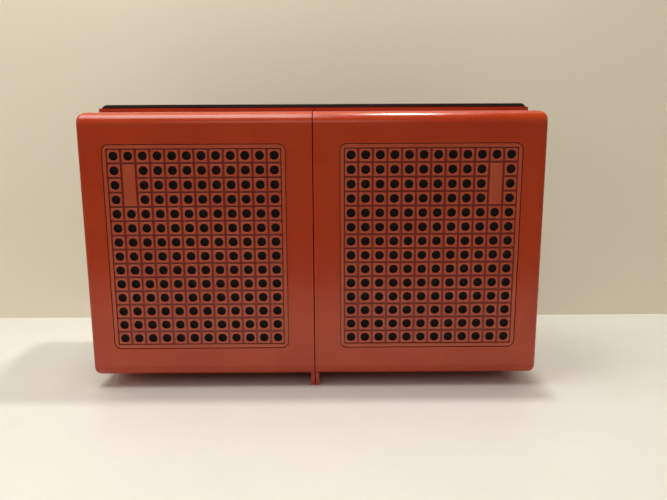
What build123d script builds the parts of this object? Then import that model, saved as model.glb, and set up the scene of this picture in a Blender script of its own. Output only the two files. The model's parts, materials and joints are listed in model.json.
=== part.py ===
"""Portable stereo record player: an upright turntable unit closed by two lift-off speaker boxes.

Frame: X to the viewer's right, +Y backwards from the speaker fronts, +Z up, in millimetres.
The origin is the middle of the footprint, on the table. Depths are measured back from the
plane of the speaker fronts. Heights are measured up from the table, and a drop down from the
unit's top or from the arm's pivot.
"""
from math import cos, radians, sin
import os

from build123d import *

# Case, outside sizes
CASE_WIDTH = 465.0
CASE_DEPTH = 150.0
FOOT_HEIGHT = 3.0
SEAM_GAP = 1.0

# Speaker boxes
BOX_END_STEP = 10.0
BOX_DEPTH = 75.0
BOX_WALL = 3.0
BOX_EDGE_RADIUS = 13.0
BOX_CORNER_RADIUS = 8.0
CORNER_CREASE = 10.0
BOX_SIDE_RADIUS = 3.0
RIM_END_STEP = 4.0
RIM_DEPTH = 7.0
RIM_CORNER_RADIUS = 1.5
CHAMBER_DEPTH = 38.0
BACK_PANEL_THICKNESS = 2.5
FIN_WIDTH = 3.8
FIN_FRONT_DEPTH = 7.0
FIN_LENGTH = 23.0

# Grille insert
CELL_PITCH = 14.5
CELL_COLUMNS = 12
CELL_ROWS = 14
CELL_PAD = 12.5
CELL_HOLE_RADIUS = 4.5
GRILLE_SHIFT = 1.45
PAD_SETBACK = 0.6
CELL_GROOVE_DEPTH = 1.4
GRILLE_RIM = 3.5
GRILLE_CORNER_RADIUS = 6.5
GRILLE_LINE = 0.8
GRILLE_SETBACK = 0.2
GRILLE_FLANGE = 3.5
GRILLE_FLANGE_THICKNESS = 1.5
BADGE_COLUMN = 1
BADGE_FIRST_ROW = 1
BADGE_ROWS = 3
CLOTH_THICKNESS = 0.6

# Loudspeaker
DRIVER_RADIUS = 63.0
DRIVER_FLANGE_THICKNESS = 2.0
CONE_RADIUS = 54.0
CONE_THICKNESS = 0.9
VOICE_COIL_RADIUS = 13.0
MAGNET_RADIUS = 30.0
MAGNET_THICKNESS = 11.0
MAGNET_EDGE_RADIUS = 1.5
MAGNET_GAP = 1.0
BASKET_WALL = 1.6
BASKET_WINDOWS = 4
BASKET_WINDOW_RADIUS = 8.2

# Turntable unit
UNIT_HEIGHT = 294.0
UNIT_WALL = 3.0
UNIT_CORNER_RADIUS = 6.5
UNIT_REAR_RADIUS = 6.0
UNIT_FRONT_GAP = 0.5
REAR_FOOT_HEIGHT = 3.0
DECK_SETBACK = 3.0
DECK_THICKNESS = 3.0
SPIGOT_REACH = 6.5
SPIGOT_WALL = 3.0
FIT_GAP = 0.3
HOLE_MARGIN = 2.0

# Platter and drive
PLATTER_RADIUS = 110.0
PLATTER_SIDE_MARGIN = 30.5
PLATTER_RISE = 6.0
PLATTER_PLATE = 2.5
PLATTER_RIM_WALL = 4.0
PLATTER_RIM_RADIUS = 1.5
PLATTER_HUB_RADIUS = 14.0
PLATTER_HUB_LENGTH = 8.0
MAT_THICKNESS = 2.5
MAT_EDGE = 3.0
MAT_RING_WIDTH = 3.0
MAT_RING_RADIUS = 30.0
MAT_RING_SPACING = 20.0
MAT_RINGS = 4
WELL_GAP = 4.0
WELL_DROP = 8.0
PLATTER_TO_WELL = 0.6
SPINDLE_RADIUS = 3.58
SPINDLE_REACH = 8.5
SPINDLE_TAPER = 2.0
SPINDLE_TIP_INSET = 1.5
JOURNAL_RADIUS = 4.0
JOURNAL_LENGTH = 25.0
RUNNING_GAP = 0.05
BEARING_RADIUS = 10.0
BEARING_FLANGE_RADIUS = 16.0
BEARING_FLANGE_THICKNESS = 2.0
BEARING_END_WALL = 3.0
IDLER_RADIUS = 22.0
IDLER_THICKNESS = 3.0
IDLER_TYRE = 3.0
IDLER_HUB_RADIUS = 6.0
IDLER_HUB_FRONT = 2.0
IDLER_HUB_BACK = 1.0
IDLER_STUD_RADIUS = 2.0
IDLER_ANGLE = -50.0
IDLER_SINK = 2.0
IDLER_PLATE = 1.2
IDLER_PLATE_WIDTH = 14.0
IDLER_PLATE_SPAN = 30.0
IDLER_PLATE_DROP = 10.0
DRIVE_GAP = 0.3
PULLEY_33_RADIUS = 2.6
PULLEY_45_RADIUS = 3.5
PULLEY_STEP = 3.8
MOTOR_SIZE = 56.0
MOTOR_STACK = 20.0
MOTOR_PLATE = 2.0
MOTOR_PLATE_RADIUS = 6.0
MOTOR_LEG_RADIUS = 4.0
MOTOR_SHAFT_RADIUS = 1.5
ROTOR_RADIUS = 14.0
ROTOR_GAP = 0.5
MOTOR_AIR = 5.0
COIL_GAP = 1.0
COIL_RADIUS = 1.5

# Pickup arm
ARM_PANEL_GAP = 26.0
ARM_PIVOT_DROP = 45.0
ARM_RISE = 18.0
ARM_TUBE_RADIUS = 4.0
ARM_BASE_RADIUS = 18.0
ARM_BASE_THICKNESS = 8.0
ARM_BASE_EDGE = 2.0
ARM_BUSH_RADIUS = 9.0
ARM_SHAFT_RADIUS = 4.0
ARM_SHAFT_LENGTH = 30.0
YOKE_RADIUS = 11.5
YOKE_PLATE = 3.7
YOKE_CHEEK = 3.0
YOKE_GAP = 0.5
ARM_HUB_WIDTH = 15.0
ARM_HUB_SIZE = 9.0
ARM_HUB_EDGE = 1.5
ARM_PIN_RADIUS = 1.5
COUNTERWEIGHT_RADIUS = 8.5
COUNTERWEIGHT_LENGTH = 15.0
COUNTERWEIGHT_EDGE = 1.5
COUNTERWEIGHT_INSET = 1.0
ARM_TAIL = 29.0
HEADSHELL_WIDTH = 19.0
HEADSHELL_LENGTH = 36.0
HEADSHELL_TOE = 6.0
HEADSHELL_HEIGHT = 8.0
HEADSHELL_WALL = 1.5
HEADSHELL_EDGE = 1.2
HEADSHELL_NECK = 4.0
HEADSHELL_SOCKET = 6.0
FINGER_LENGTH = 10.0
FINGER_WIDTH = 5.0
FINGER_INSET = 4.0
CARTRIDGE_WIDTH = 13.0
CARTRIDGE_LENGTH = 22.0
CARTRIDGE_TOE = 2.0
STYLUS_RISE = 30.0
STYLUS_DROP = 2.5
STYLUS_HOLDER_WIDTH = 5.0
STYLUS_HOLDER_LENGTH = 13.0
STYLUS_PLATE = 1.0
STYLUS_TIP_RADIUS = 0.5
STYLUS_POINT_RADIUS = 0.1
ARM_REST_DISTANCE = 52.0
ARM_REST_WIDTH = 10.0
ARM_REST_CLIP = 3.0

# Controls
PANEL_SIDE_MARGIN = 10.5
PANEL_WIDTH = 110.0
PANEL_LOW = 18.0
PANEL_HIGH = 140.0
PANEL_THICKNESS = 0.8
PANEL_RADIUS = 4.0
KNOB_SPACING = 54.0
KNOB_ROW_SPACING = 50.0
KNOB_TOP_ROW = 113.0
KNOB_RADIUS = 17.0
KNOB_HEIGHT = 16.0
KNOB_EDGE = 2.0
KNOB_LIFT = 0.4
KNOB_LINE_WIDTH = 1.6
KNOB_LINE_DEPTH = 1.0
CONTROL_SHAFT_RADIUS = 3.0
CONTROL_NECK_RADIUS = 4.8
CONTROL_BODY_RADIUS = 12.0
CONTROL_BODY_DEPTH = 10.0
BUTTON_ROW_HEIGHT = 31.0
BUTTON_WIDTH = 18.0
BUTTON_HEIGHT = 9.0
BUTTON_PROUD = 6.0
BUTTON_CORNER = 1.2
BUTTON_EDGE = 1.0
BUTTON_GAP = 0.4
BUTTON_TRAVEL = 3.0
BUTTON_STEM = 4.0
SWITCH_SIZE = 14.0
SWITCH_DEPTH = 20.0
SWITCH_EAR = 3.0
SWITCH_BRIDGE = 4.0
SWITCH_END_WALL = 2.0
CUE_OFFSET = 30.0
CUE_DROP = 39.0
CUE_LENGTH = 24.0
CUE_RADIUS = 6.0
CUE_ARM_WIDTH = 4.0
CUE_KNOB_RADIUS = 3.0

# Handle and sockets in the top wall
HANDLE_SIDE_MARGIN = 154.5
HANDLE_FRONT_MARGIN = 16.0
HANDLE_REAR_MARGIN = 10.0
HANDLE_RECESS_DROP = 24.0
HANDLE_RECESS_WALL = 2.5
HANDLE_BAR = 10.0
HANDLE_SIDE_GAP = 2.0
HANDLE_REAR_GAP = 2.0
HANDLE_ARM_WIDTH = 6.0
HANDLE_EDGE = 2.0
HANDLE_PIN_RADIUS = 2.0
HANDLE_TOP_GAP = 1.0
HANDLE_PIN_SETBACK = 7.0
SOCKET_SETBACK = 34.0
INLET_SIDE_MARGIN = 42.5
INLET_WIDTH = 24.0
INLET_LENGTH = 15.0
INLET_DROP = 20.0
INLET_WALL = 2.5
INLET_FLANGE = 3.0
INLET_FLANGE_THICKNESS = 2.0
INLET_PIN_RADIUS = 1.2
INLET_PIN_OFFSET = 4.3
DIN_FROM_INLET = 38.0
DIN_SPACING = 25.0
DIN_RADIUS = 7.5
DIN_COUNT = 3
DIN_FLANGE = 2.5
DIN_FLANGE_THICKNESS = 2.0
DIN_BLADE_WIDTH = 5.0
DIN_BLADE_THICKNESS = 1.6
DIN_PIN_RADIUS = 0.9
DIN_PIN_OFFSET = 3.5
DIN_MOUTH = 6.0
LEAD_SOCKET_LENGTH = 12.0
LEAD_SOCKET_PROUD = 0.5

# Fixings, feet and inner parts
SCREW_RADIUS = 1.5
SCREW_HOLE_GAP = 0.1
SCREW_HEAD_RADIUS = 3.2
SCREW_HEAD = 2.0
BOSS_RADIUS = 5.0
BOSS_INSET = 14.0
FOOT_RADIUS = 7.0
TRANSFORMER_SHIFT = 5.0
TRANSFORMER_HEIGHT = 76.0
TRANSFORMER_WIDTH = 54.0
TRANSFORMER_STACK = 34.0
TRANSFORMER_GAP = 9.0
WINDING_RADIUS = 3.0
BOARD_SHIFT = 7.0
BOARD_DROP = 92.0
BOARD_WIDTH = 110.0
BOARD_LENGTH = 90.0
BOARD_THICKNESS = 1.6
BOARD_STAND_OFF = 6.0
BOARD_CORNER = 2.0
CAN_RADIUS = 9.0
SMALL_CAN_RADIUS = 6.0
CAN_SPACING = 25.0
CAN_INSET = 18.0
CAN_RISE = 20.0
CAN_EDGE = 1.0
SINK_REACH = 26.0
SINK_INSET = 12.0
SINK_RISE = 8.0
SINK_PLATE = 2.0
SINK_FIN_HEIGHT = 14.0
SINK_FIN_THICKNESS = 1.8
SINK_FINS = 8

# Places that follow from the sizes above
HALF_WIDTH = CASE_WIDTH / 2
FRONT_Y = -CASE_DEPTH / 2
UNIT_HALF = UNIT_HEIGHT / 2
AXIS_Z = FOOT_HEIGHT + UNIT_HALF
UNIT_TOP = AXIS_Z + UNIT_HALF
BOX_HEIGHT = UNIT_HEIGHT - 2 * BOX_END_STEP
BOX_HALF = BOX_HEIGHT / 2
RIM_HEIGHT = UNIT_HEIGHT - 2 * RIM_END_STEP
UNIT_FRONT = BOX_DEPTH + UNIT_FRONT_GAP
UNIT_REAR = CASE_DEPTH - REAR_FOOT_HEIGHT
UNIT_INNER_REAR = UNIT_REAR - UNIT_WALL
DECK_DEPTH = BOX_DEPTH + DECK_SETBACK
DECK_BACK = DECK_DEPTH + DECK_THICKNESS
PLATTER_DEPTH = DECK_DEPTH - PLATTER_RISE
SPINDLE_X = PLATTER_RADIUS + PLATTER_SIDE_MARGIN - HALF_WIDTH
WELL_RADIUS = PLATTER_RADIUS + WELL_GAP
WELL_FLOOR = DECK_DEPTH + WELL_DROP
WELL_BACK = WELL_FLOOR + DECK_THICKNESS
MAT_DEPTH = PLATTER_DEPTH - MAT_THICKNESS
PLATTER_INNER_RADIUS = PLATTER_RADIUS - PLATTER_RIM_WALL
JOURNAL_DEPTH = PLATTER_DEPTH + PLATTER_HUB_LENGTH
PANEL_X = HALF_WIDTH - PANEL_SIDE_MARGIN - PANEL_WIDTH / 2
PANEL_FACE = DECK_DEPTH - PANEL_THICKNESS
ARM_X = PANEL_X - PANEL_WIDTH / 2 - ARM_PANEL_GAP
ARM_DEPTH = DECK_DEPTH - ARM_RISE
ARM_PIVOT_Z = UNIT_TOP - ARM_PIVOT_DROP
ARM_BASE_TOP = DECK_DEPTH - ARM_BASE_THICKNESS
STYLUS_Z = FOOT_HEIGHT + STYLUS_RISE
CHAMBER_BACK = CHAMBER_DEPTH + BACK_PANEL_THICKNESS
GRILLE_X = (SEAM_GAP / 2 + HALF_WIDTH) / 2 + GRILLE_SHIFT
FIELD_WIDTH = CELL_PITCH * CELL_COLUMNS
FIELD_HEIGHT = CELL_PITCH * CELL_ROWS
GRILLE_WIDTH = FIELD_WIDTH + 2 * GRILLE_RIM
GRILLE_HEIGHT = FIELD_HEIGHT + 2 * GRILLE_RIM
CLOTH_DEPTH = BOX_WALL + GRILLE_FLANGE_THICKNESS
DRIVER_DEPTH = CLOTH_DEPTH + CLOTH_THICKNESS
MAGNET_DEPTH = CHAMBER_DEPTH - MAGNET_GAP - MAGNET_THICKNESS
SCREW_HOLE_RADIUS = SCREW_RADIUS + SCREW_HOLE_GAP
BACK_PANEL_INSET = BOX_WALL + FIT_GAP
LEAD_SOCKET_X = BOSS_INSET + 2 * DIN_RADIUS
LEAD_SOCKET_Z = AXIS_Z - BOX_HALF + 3 * BOSS_INSET
HANDLE_RECESS_WIDTH = CASE_WIDTH - 2 * HANDLE_SIDE_MARGIN
HANDLE_RECESS_DEPTH = DECK_BACK + HANDLE_FRONT_MARGIN
HANDLE_RECESS_BACK = UNIT_REAR - HANDLE_REAR_MARGIN
HANDLE_PIN_DEPTH = HANDLE_RECESS_DEPTH + HANDLE_PIN_SETBACK
HANDLE_PIN_Z = UNIT_TOP - HANDLE_TOP_GAP - HANDLE_BAR / 2
SOCKET_DEPTH = DECK_BACK + SOCKET_SETBACK
INLET_X = INLET_SIDE_MARGIN - HALF_WIDTH
DIN_FIRST_X = INLET_X + DIN_FROM_INLET
IDLER_DEPTH = DECK_DEPTH + IDLER_SINK
IDLER_ORBIT = PLATTER_INNER_RADIUS - IDLER_RADIUS - DRIVE_GAP
IDLER_X = SPINDLE_X + IDLER_ORBIT * cos(radians(IDLER_ANGLE))
IDLER_Z = AXIS_Z + IDLER_ORBIT * sin(radians(IDLER_ANGLE))
MOTOR_X = IDLER_X - IDLER_RADIUS - PULLEY_33_RADIUS - DRIVE_GAP
MOTOR_Z = IDLER_Z
KNOB_LEFT_X = PANEL_X - KNOB_SPACING / 2
KNOB_RIGHT_X = PANEL_X + KNOB_SPACING / 2
KNOB_LOW_ROW = KNOB_TOP_ROW - KNOB_ROW_SPACING
CUE_X = ARM_X + CUE_OFFSET
CUE_Z = ARM_PIVOT_Z - CUE_DROP
MOTOR_FRONT = WELL_BACK
MOTOR_STACK_FRONT = MOTOR_FRONT + MOTOR_PLATE + MOTOR_AIR
MOTOR_STACK_BACK = MOTOR_STACK_FRONT + MOTOR_STACK
MOTOR_BACK = MOTOR_STACK_BACK + MOTOR_AIR + MOTOR_PLATE
YOKE_BACK = ARM_BASE_TOP - FIT_GAP
YOKE_FRONT = YOKE_BACK - YOKE_PLATE
YOKE_INNER = ARM_HUB_WIDTH / 2 + YOKE_GAP
TRANSFORMER_X = PANEL_X + TRANSFORMER_SHIFT
TRANSFORMER_FRONT = DECK_BACK + CONTROL_BODY_DEPTH + TRANSFORMER_GAP
BOARD_X = PANEL_X - BOARD_SHIFT
BOARD_HEIGHT = UNIT_TOP - BOARD_DROP
BOARD_BACK = UNIT_INNER_REAR - BOARD_STAND_OFF
BOARD_FRONT = BOARD_BACK - BOARD_THICKNESS


def depth_y(depth):
    return FRONT_Y + depth


def block(x_low, x_high, depth_low, depth_high, z_low, z_high):
    size = (x_high - x_low, depth_high - depth_low, z_high - z_low)
    middle = ((x_low + x_high) / 2, depth_y((depth_low + depth_high) / 2), (z_low + z_high) / 2)
    return Pos(*middle) * Box(*size)


def facing(x, depth, z):
    """Sketch plane that faces the front, its own Y axis upwards."""
    return Plane(origin=(x, depth_y(depth), z), x_dir=(1, 0, 0), z_dir=(0, -1, 0))


def slab(outline, x, z, depth_low, depth_high):
    """A front-facing outline extruded backwards."""
    return extrude(facing(x, depth_low, z) * outline, amount=depth_low - depth_high)


def disc(radius, x, z, depth_low, depth_high):
    return slab(Circle(radius), x, z, depth_low, depth_high)


def tube(radius, bore, x, z, depth_low, depth_high):
    return slab(Circle(radius) - Circle(bore), x, z, depth_low, depth_high)


def rounded(width, height, radius, x, z, depth_low, depth_high):
    return slab(RectangleRounded(width, height, radius), x, z, depth_low, depth_high)


def bar_x(radius, x_low, x_high, depth, z):
    place = Pos((x_low + x_high) / 2, depth_y(depth), z) * Rot(0, 90, 0)
    return place * Cylinder(radius, x_high - x_low)


def bar_z(radius, z_low, z_high, x, depth):
    return Pos(x, depth_y(depth), (z_low + z_high) / 2) * Cylinder(radius, z_high - z_low)


def turned(points, x, z):
    """Solid of revolution about a front-to-back axis, from (radius, depth) points."""
    axis_plane = Plane(origin=(x, FRONT_Y, z), x_dir=(1, 0, 0), z_dir=(0, 0, 1))
    section = axis_plane * make_face(Polyline(*points, close=True))
    return revolve(section, Axis((x, FRONT_Y, z), (0, 1, 0)), 360)


def group(solids):
    return Compound(children=[part for solid in solids for part in solid.solids()])


def mirrored(solid):
    return mirror(solid, about=Plane.YZ)


def box_form(inset, depth_low, depth_high, edge_radius, x_low):
    """Front form of a speaker box: rounded top and bottom front edges, rounded outer corners."""
    half = BOX_HALF - inset
    side = Plane(origin=(x_low, FRONT_Y, AXIS_Z), x_dir=(0, 1, 0), z_dir=(1, 0, 0))
    profile = side * Pos((depth_low + depth_high) / 2, 0) * Rectangle(depth_high - depth_low, 2 * half)
    front_corners = profile.vertices().group_by(Axis.Y)[0]
    profile = fillet(front_corners, edge_radius)
    width = HALF_WIDTH - inset - x_low
    return extrude(profile, amount=width)


def speaker_shell():
    x_in = SEAM_GAP / 2
    form = box_form(0, 0, BOX_DEPTH, BOX_EDGE_RADIUS, x_in)
    width = HALF_WIDTH - x_in
    corner_mask = slab(corner_outline(width, BOX_HEIGHT, BOX_CORNER_RADIUS), x_in, AXIS_Z, 0, BOX_DEPTH)
    form = form & corner_mask
    side_edges = form.edges().filter_by(Axis.Z).group_by(Axis.X)[-1].group_by(Axis.Y)[0]
    form = fillet(side_edges, BOX_SIDE_RADIUS)
    rim_outline = corner_outline(width, RIM_HEIGHT, RIM_CORNER_RADIUS)
    form += slab(rim_outline, x_in, AXIS_Z, BOX_DEPTH - RIM_DEPTH, BOX_DEPTH)
    hollow = box_form(BOX_WALL, BOX_WALL, CHAMBER_BACK, BOX_EDGE_RADIUS - BOX_WALL, x_in + BOX_WALL)
    inner_width = HALF_WIDTH - BOX_WALL - x_in
    inner_corner = BOX_CORNER_RADIUS - BOX_WALL
    lid = slab(
        corner_outline(inner_width, BOX_HEIGHT - 2 * BOX_WALL, inner_corner),
        x_in, AXIS_Z, CHAMBER_BACK, BOX_DEPTH,
    )
    lap = slab(
        corner_outline(inner_width, RIM_HEIGHT - 2 * BOX_WALL, inner_corner),
        x_in, AXIS_Z, BOX_DEPTH - RIM_DEPTH + BOX_WALL, BOX_DEPTH,
    )
    form = form - hollow - lid - lap
    window = RectangleRounded(
        GRILLE_WIDTH + 2 * GRILLE_LINE, GRILLE_HEIGHT + 2 * GRILLE_LINE, GRILLE_CORNER_RADIUS + GRILLE_LINE
    )
    form -= slab(window, GRILLE_X, AXIS_Z, 0, BOX_WALL)
    form += block(x_in, x_in + FIN_WIDTH, FIN_FRONT_DEPTH, FIN_FRONT_DEPTH + FIN_LENGTH,
                  0, AXIS_Z - BOX_HALF + BOX_WALL)
    for x, z in panel_screw_places():
        form += disc(BOSS_RADIUS, x, z, BOX_WALL, CHAMBER_DEPTH)
        form -= disc(SCREW_HOLE_RADIUS, x, z, CHAMBER_DEPTH / 2, CHAMBER_DEPTH)
    return form


def corner_outline(width, height, radius):
    """Rectangle from x = 0 to width with its two outer corners rounded.

    Each round stops a little short of a quarter turn, so it meets the top or bottom in a faint
    crease. A full quarter would touch the rounded front edge along a line without crossing it.
    """
    turn = radians(90 - CORNER_CREASE)
    middle_x = width - radius
    middle_z = height / 2 - radius * sin(turn)
    end_x = middle_x + radius * cos(turn)
    half_x = middle_x + radius * cos(turn / 2)
    half_z = middle_z + radius * sin(turn / 2)
    top = height / 2
    edges = [
        Line((0, top), (0, -top)),
        Line((0, -top), (end_x, -top)),
        ThreePointArc((end_x, -top), (half_x, -half_z), (width, -middle_z)),
        Line((width, -middle_z), (width, middle_z)),
        ThreePointArc((width, middle_z), (half_x, half_z), (end_x, top)),
        Line((end_x, top), (0, top)),
    ]
    return make_face(edges)


def panel_screw_places():
    """Corners of the back panel, a little in from the chamber's walls."""
    x_low = SEAM_GAP / 2 + BOSS_INSET
    x_high = HALF_WIDTH - BOSS_INSET
    z_reach = BOX_HALF - BOSS_INSET
    return [(x, AXIS_Z + z) for x in (x_low, x_high) for z in (-z_reach, z_reach)]


def cell_places():
    """Centres of the cells that have a hole, from the seam outwards and from the top down."""
    places = []
    for column in range(CELL_COLUMNS):
        for row in range(CELL_ROWS):
            in_badge = column == CELL_COLUMNS - 1 - BADGE_COLUMN
            in_badge = in_badge and BADGE_FIRST_ROW <= row < BADGE_FIRST_ROW + BADGE_ROWS
            if not in_badge:
                x = CELL_PITCH * (column - (CELL_COLUMNS - 1) / 2)
                z = CELL_PITCH * ((CELL_ROWS - 1) / 2 - row)
                places.append((x, z))
    return places


def grille():
    panel = rounded(GRILLE_WIDTH, GRILLE_HEIGHT, GRILLE_CORNER_RADIUS,
                    GRILLE_X, AXIS_Z, GRILLE_SETBACK, BOX_WALL)
    panel += rounded(GRILLE_WIDTH + 2 * (GRILLE_FLANGE + GRILLE_LINE),
                     GRILLE_HEIGHT + 2 * (GRILLE_FLANGE + GRILLE_LINE),
                     GRILLE_CORNER_RADIUS + GRILLE_FLANGE,
                     GRILLE_X, AXIS_Z, BOX_WALL, BOX_WALL + GRILLE_FLANGE_THICKNESS)
    field = Rectangle(FIELD_WIDTH, FIELD_HEIGHT)
    panel -= slab(field, GRILLE_X, AXIS_Z, GRILLE_SETBACK, PAD_SETBACK)
    places = cell_places()
    badge_x = CELL_PITCH * ((CELL_COLUMNS - 1) / 2 - BADGE_COLUMN)
    badge_z = CELL_PITCH * ((CELL_ROWS - 1) / 2 - BADGE_FIRST_ROW - (BADGE_ROWS - 1) / 2)
    badge_height = CELL_PITCH * (BADGE_ROWS - 1) + CELL_PAD
    grooves = field - Locations(*places) * Rectangle(CELL_PAD, CELL_PAD)
    grooves -= Pos(badge_x, badge_z) * Rectangle(CELL_PAD, badge_height)
    panel -= slab(grooves, GRILLE_X, AXIS_Z, PAD_SETBACK, PAD_SETBACK + CELL_GROOVE_DEPTH)
    holes = Locations(*places) * Circle(CELL_HOLE_RADIUS)
    panel -= slab(Sketch() + holes, GRILLE_X, AXIS_Z, 0, CLOTH_DEPTH)
    return panel


def grille_cloth():
    return rounded(GRILLE_WIDTH, GRILLE_HEIGHT, GRILLE_CORNER_RADIUS,
                   GRILLE_X, AXIS_Z, CLOTH_DEPTH, DRIVER_DEPTH)


def driver_basket():
    flange_back = DRIVER_DEPTH + DRIVER_FLANGE_THICKNESS
    basket = turned(
        [
            (DRIVER_RADIUS, DRIVER_DEPTH),
            (DRIVER_RADIUS, flange_back),
            (CONE_RADIUS + 2 * BASKET_WALL, flange_back),
            (MAGNET_RADIUS, MAGNET_DEPTH),
            (VOICE_COIL_RADIUS + BASKET_WALL, MAGNET_DEPTH),
            (VOICE_COIL_RADIUS + BASKET_WALL, MAGNET_DEPTH - BASKET_WALL),
            (MAGNET_RADIUS - BASKET_WALL, MAGNET_DEPTH - BASKET_WALL),
            (CONE_RADIUS + BASKET_WALL, flange_back),
            (CONE_RADIUS + BASKET_WALL, DRIVER_DEPTH),
        ],
        GRILLE_X, AXIS_Z,
    )
    window_radius = (CONE_RADIUS + MAGNET_RADIUS) / 2
    for index in range(BASKET_WINDOWS):
        angle = radians(45 + index * 360 / BASKET_WINDOWS)
        x = GRILLE_X + window_radius * cos(angle)
        z = AXIS_Z + window_radius * sin(angle)
        basket -= disc(BASKET_WINDOW_RADIUS, x, z, flange_back, MAGNET_DEPTH)
    return basket


def driver_cone():
    lip = DRIVER_DEPTH + DRIVER_FLANGE_THICKNESS / 2
    throat = MAGNET_DEPTH - 3 * BASKET_WALL
    return turned(
        [
            (0, throat - VOICE_COIL_RADIUS / 2),
            (VOICE_COIL_RADIUS / 4, throat - VOICE_COIL_RADIUS / 2),
            (VOICE_COIL_RADIUS * 2 / 3, throat - VOICE_COIL_RADIUS / 3),
            (VOICE_COIL_RADIUS, throat),
            (CONE_RADIUS - VOICE_COIL_RADIUS / 2, lip),
            (CONE_RADIUS + BASKET_WALL, lip),
            (CONE_RADIUS + BASKET_WALL, lip + CONE_THICKNESS),
            (CONE_RADIUS - VOICE_COIL_RADIUS / 2, lip + CONE_THICKNESS),
            (VOICE_COIL_RADIUS, throat + 2 * CONE_THICKNESS),
            (VOICE_COIL_RADIUS, MAGNET_DEPTH),
            (0, MAGNET_DEPTH),
        ],
        GRILLE_X, AXIS_Z,
    )


def driver_magnet():
    magnet = disc(MAGNET_RADIUS, GRILLE_X, AXIS_Z, MAGNET_DEPTH, MAGNET_DEPTH + MAGNET_THICKNESS)
    return fillet(magnet.edges().group_by(Axis.Y)[-1], MAGNET_EDGE_RADIUS)


def back_panel():
    x_low = SEAM_GAP / 2 + BACK_PANEL_INSET
    x_high = HALF_WIDTH - BACK_PANEL_INSET
    reach = BOX_HALF - BACK_PANEL_INSET
    panel = block(x_low, x_high, CHAMBER_DEPTH, CHAMBER_BACK, AXIS_Z - reach, AXIS_Z + reach)
    panel = fillet(panel.edges().filter_by(Axis.Y).group_by(Axis.X)[-1], BOX_CORNER_RADIUS - BOX_WALL)
    for x, z in panel_screw_places():
        panel -= disc(SCREW_HOLE_RADIUS, x, z, CHAMBER_DEPTH, CHAMBER_BACK)
    return panel - disc(DIN_RADIUS + FIT_GAP, LEAD_SOCKET_X, LEAD_SOCKET_Z, CHAMBER_DEPTH, CHAMBER_BACK)


def screw(x, z, head_depth, reach):
    """Round-headed screw driven forwards, its head against the depth given."""
    shank = disc(SCREW_RADIUS, x, z, head_depth - reach, head_depth)
    head = disc(SCREW_HEAD_RADIUS, x, z, head_depth, head_depth + SCREW_HEAD)
    head = fillet(head.edges().group_by(Axis.Y)[-1], SCREW_HEAD / 2)
    return shank + head


def back_screws():
    return group([screw(x, z, CHAMBER_BACK, CHAMBER_DEPTH / 2 - 2) for x, z in panel_screw_places()])


def din_insert(height, neck):
    """Two-way socket standing on its own axis, mouth upwards, its flange a neck's length below."""
    flange = Cylinder(DIN_RADIUS + DIN_FLANGE, DIN_FLANGE_THICKNESS)
    mouth = height - DIN_MOUTH / 2
    body = Pos(0, 0, height / 2) * Cylinder(DIN_RADIUS, height)
    body += Pos(0, 0, height - neck - DIN_FLANGE_THICKNESS / 2) * flange
    body -= Pos(0, 0, mouth) * Box(DIN_BLADE_WIDTH, DIN_BLADE_THICKNESS, DIN_MOUTH)
    return body - Pos(0, DIN_PIN_OFFSET, mouth) * Cylinder(DIN_PIN_RADIUS, DIN_MOUTH)


def lead_socket():
    """Speaker lead socket: its flange lies against the inner face of the back panel."""
    socket = Rot(-90, 0, 0) * din_insert(LEAD_SOCKET_LENGTH, BACK_PANEL_THICKNESS + LEAD_SOCKET_PROUD)
    mouth = CHAMBER_BACK + LEAD_SOCKET_PROUD
    return Pos(LEAD_SOCKET_X, depth_y(mouth - LEAD_SOCKET_LENGTH), LEAD_SOCKET_Z) * socket


def rear_housing():
    shell = rounded(CASE_WIDTH, UNIT_HEIGHT, UNIT_CORNER_RADIUS, 0, AXIS_Z, UNIT_FRONT, UNIT_REAR)
    shell = fillet(shell.faces().sort_by(Axis.Y)[-1].edges(), UNIT_REAR_RADIUS)
    hollow = rounded(CASE_WIDTH - 2 * UNIT_WALL, UNIT_HEIGHT - 2 * UNIT_WALL,
                     UNIT_CORNER_RADIUS - UNIT_WALL, 0, AXIS_Z, UNIT_FRONT, UNIT_INNER_REAR)
    shell -= fillet(hollow.faces().sort_by(Axis.Y)[-1].edges(), UNIT_REAR_RADIUS - UNIT_WALL)
    tub_half = HANDLE_RECESS_WIDTH / 2
    tub_front = HANDLE_RECESS_DEPTH
    tub_back = HANDLE_RECESS_BACK
    tub_floor = UNIT_TOP - HANDLE_RECESS_DROP
    wall = HANDLE_RECESS_WALL
    shell += block(-tub_half - wall, tub_half + wall, tub_front - wall, tub_back + wall,
                   tub_floor - wall, UNIT_TOP)
    shell -= block(-tub_half, tub_half, tub_front, tub_back, tub_floor, UNIT_TOP)
    pin_hole = HANDLE_PIN_RADIUS + RUNNING_GAP
    shell -= bar_x(pin_hole, -tub_half - wall, tub_half + wall, HANDLE_PIN_DEPTH, HANDLE_PIN_Z)
    inlet_half = INLET_WIDTH / 2 + FIT_GAP
    inlet_reach = INLET_LENGTH / 2 + FIT_GAP
    shell -= block(INLET_X - inlet_half, INLET_X + inlet_half, SOCKET_DEPTH - inlet_reach,
                   SOCKET_DEPTH + inlet_reach, UNIT_TOP - UNIT_WALL, UNIT_TOP)
    for x in din_places():
        shell -= bar_z(DIN_RADIUS + FIT_GAP, UNIT_TOP - UNIT_WALL, UNIT_TOP, x, SOCKET_DEPTH)
    for x, z in housing_screw_places():
        shell -= disc(SCREW_HOLE_RADIUS, x, z, UNIT_INNER_REAR, UNIT_REAR)
    return shell


def din_places():
    return [DIN_FIRST_X + index * DIN_SPACING for index in range(DIN_COUNT)]


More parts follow.
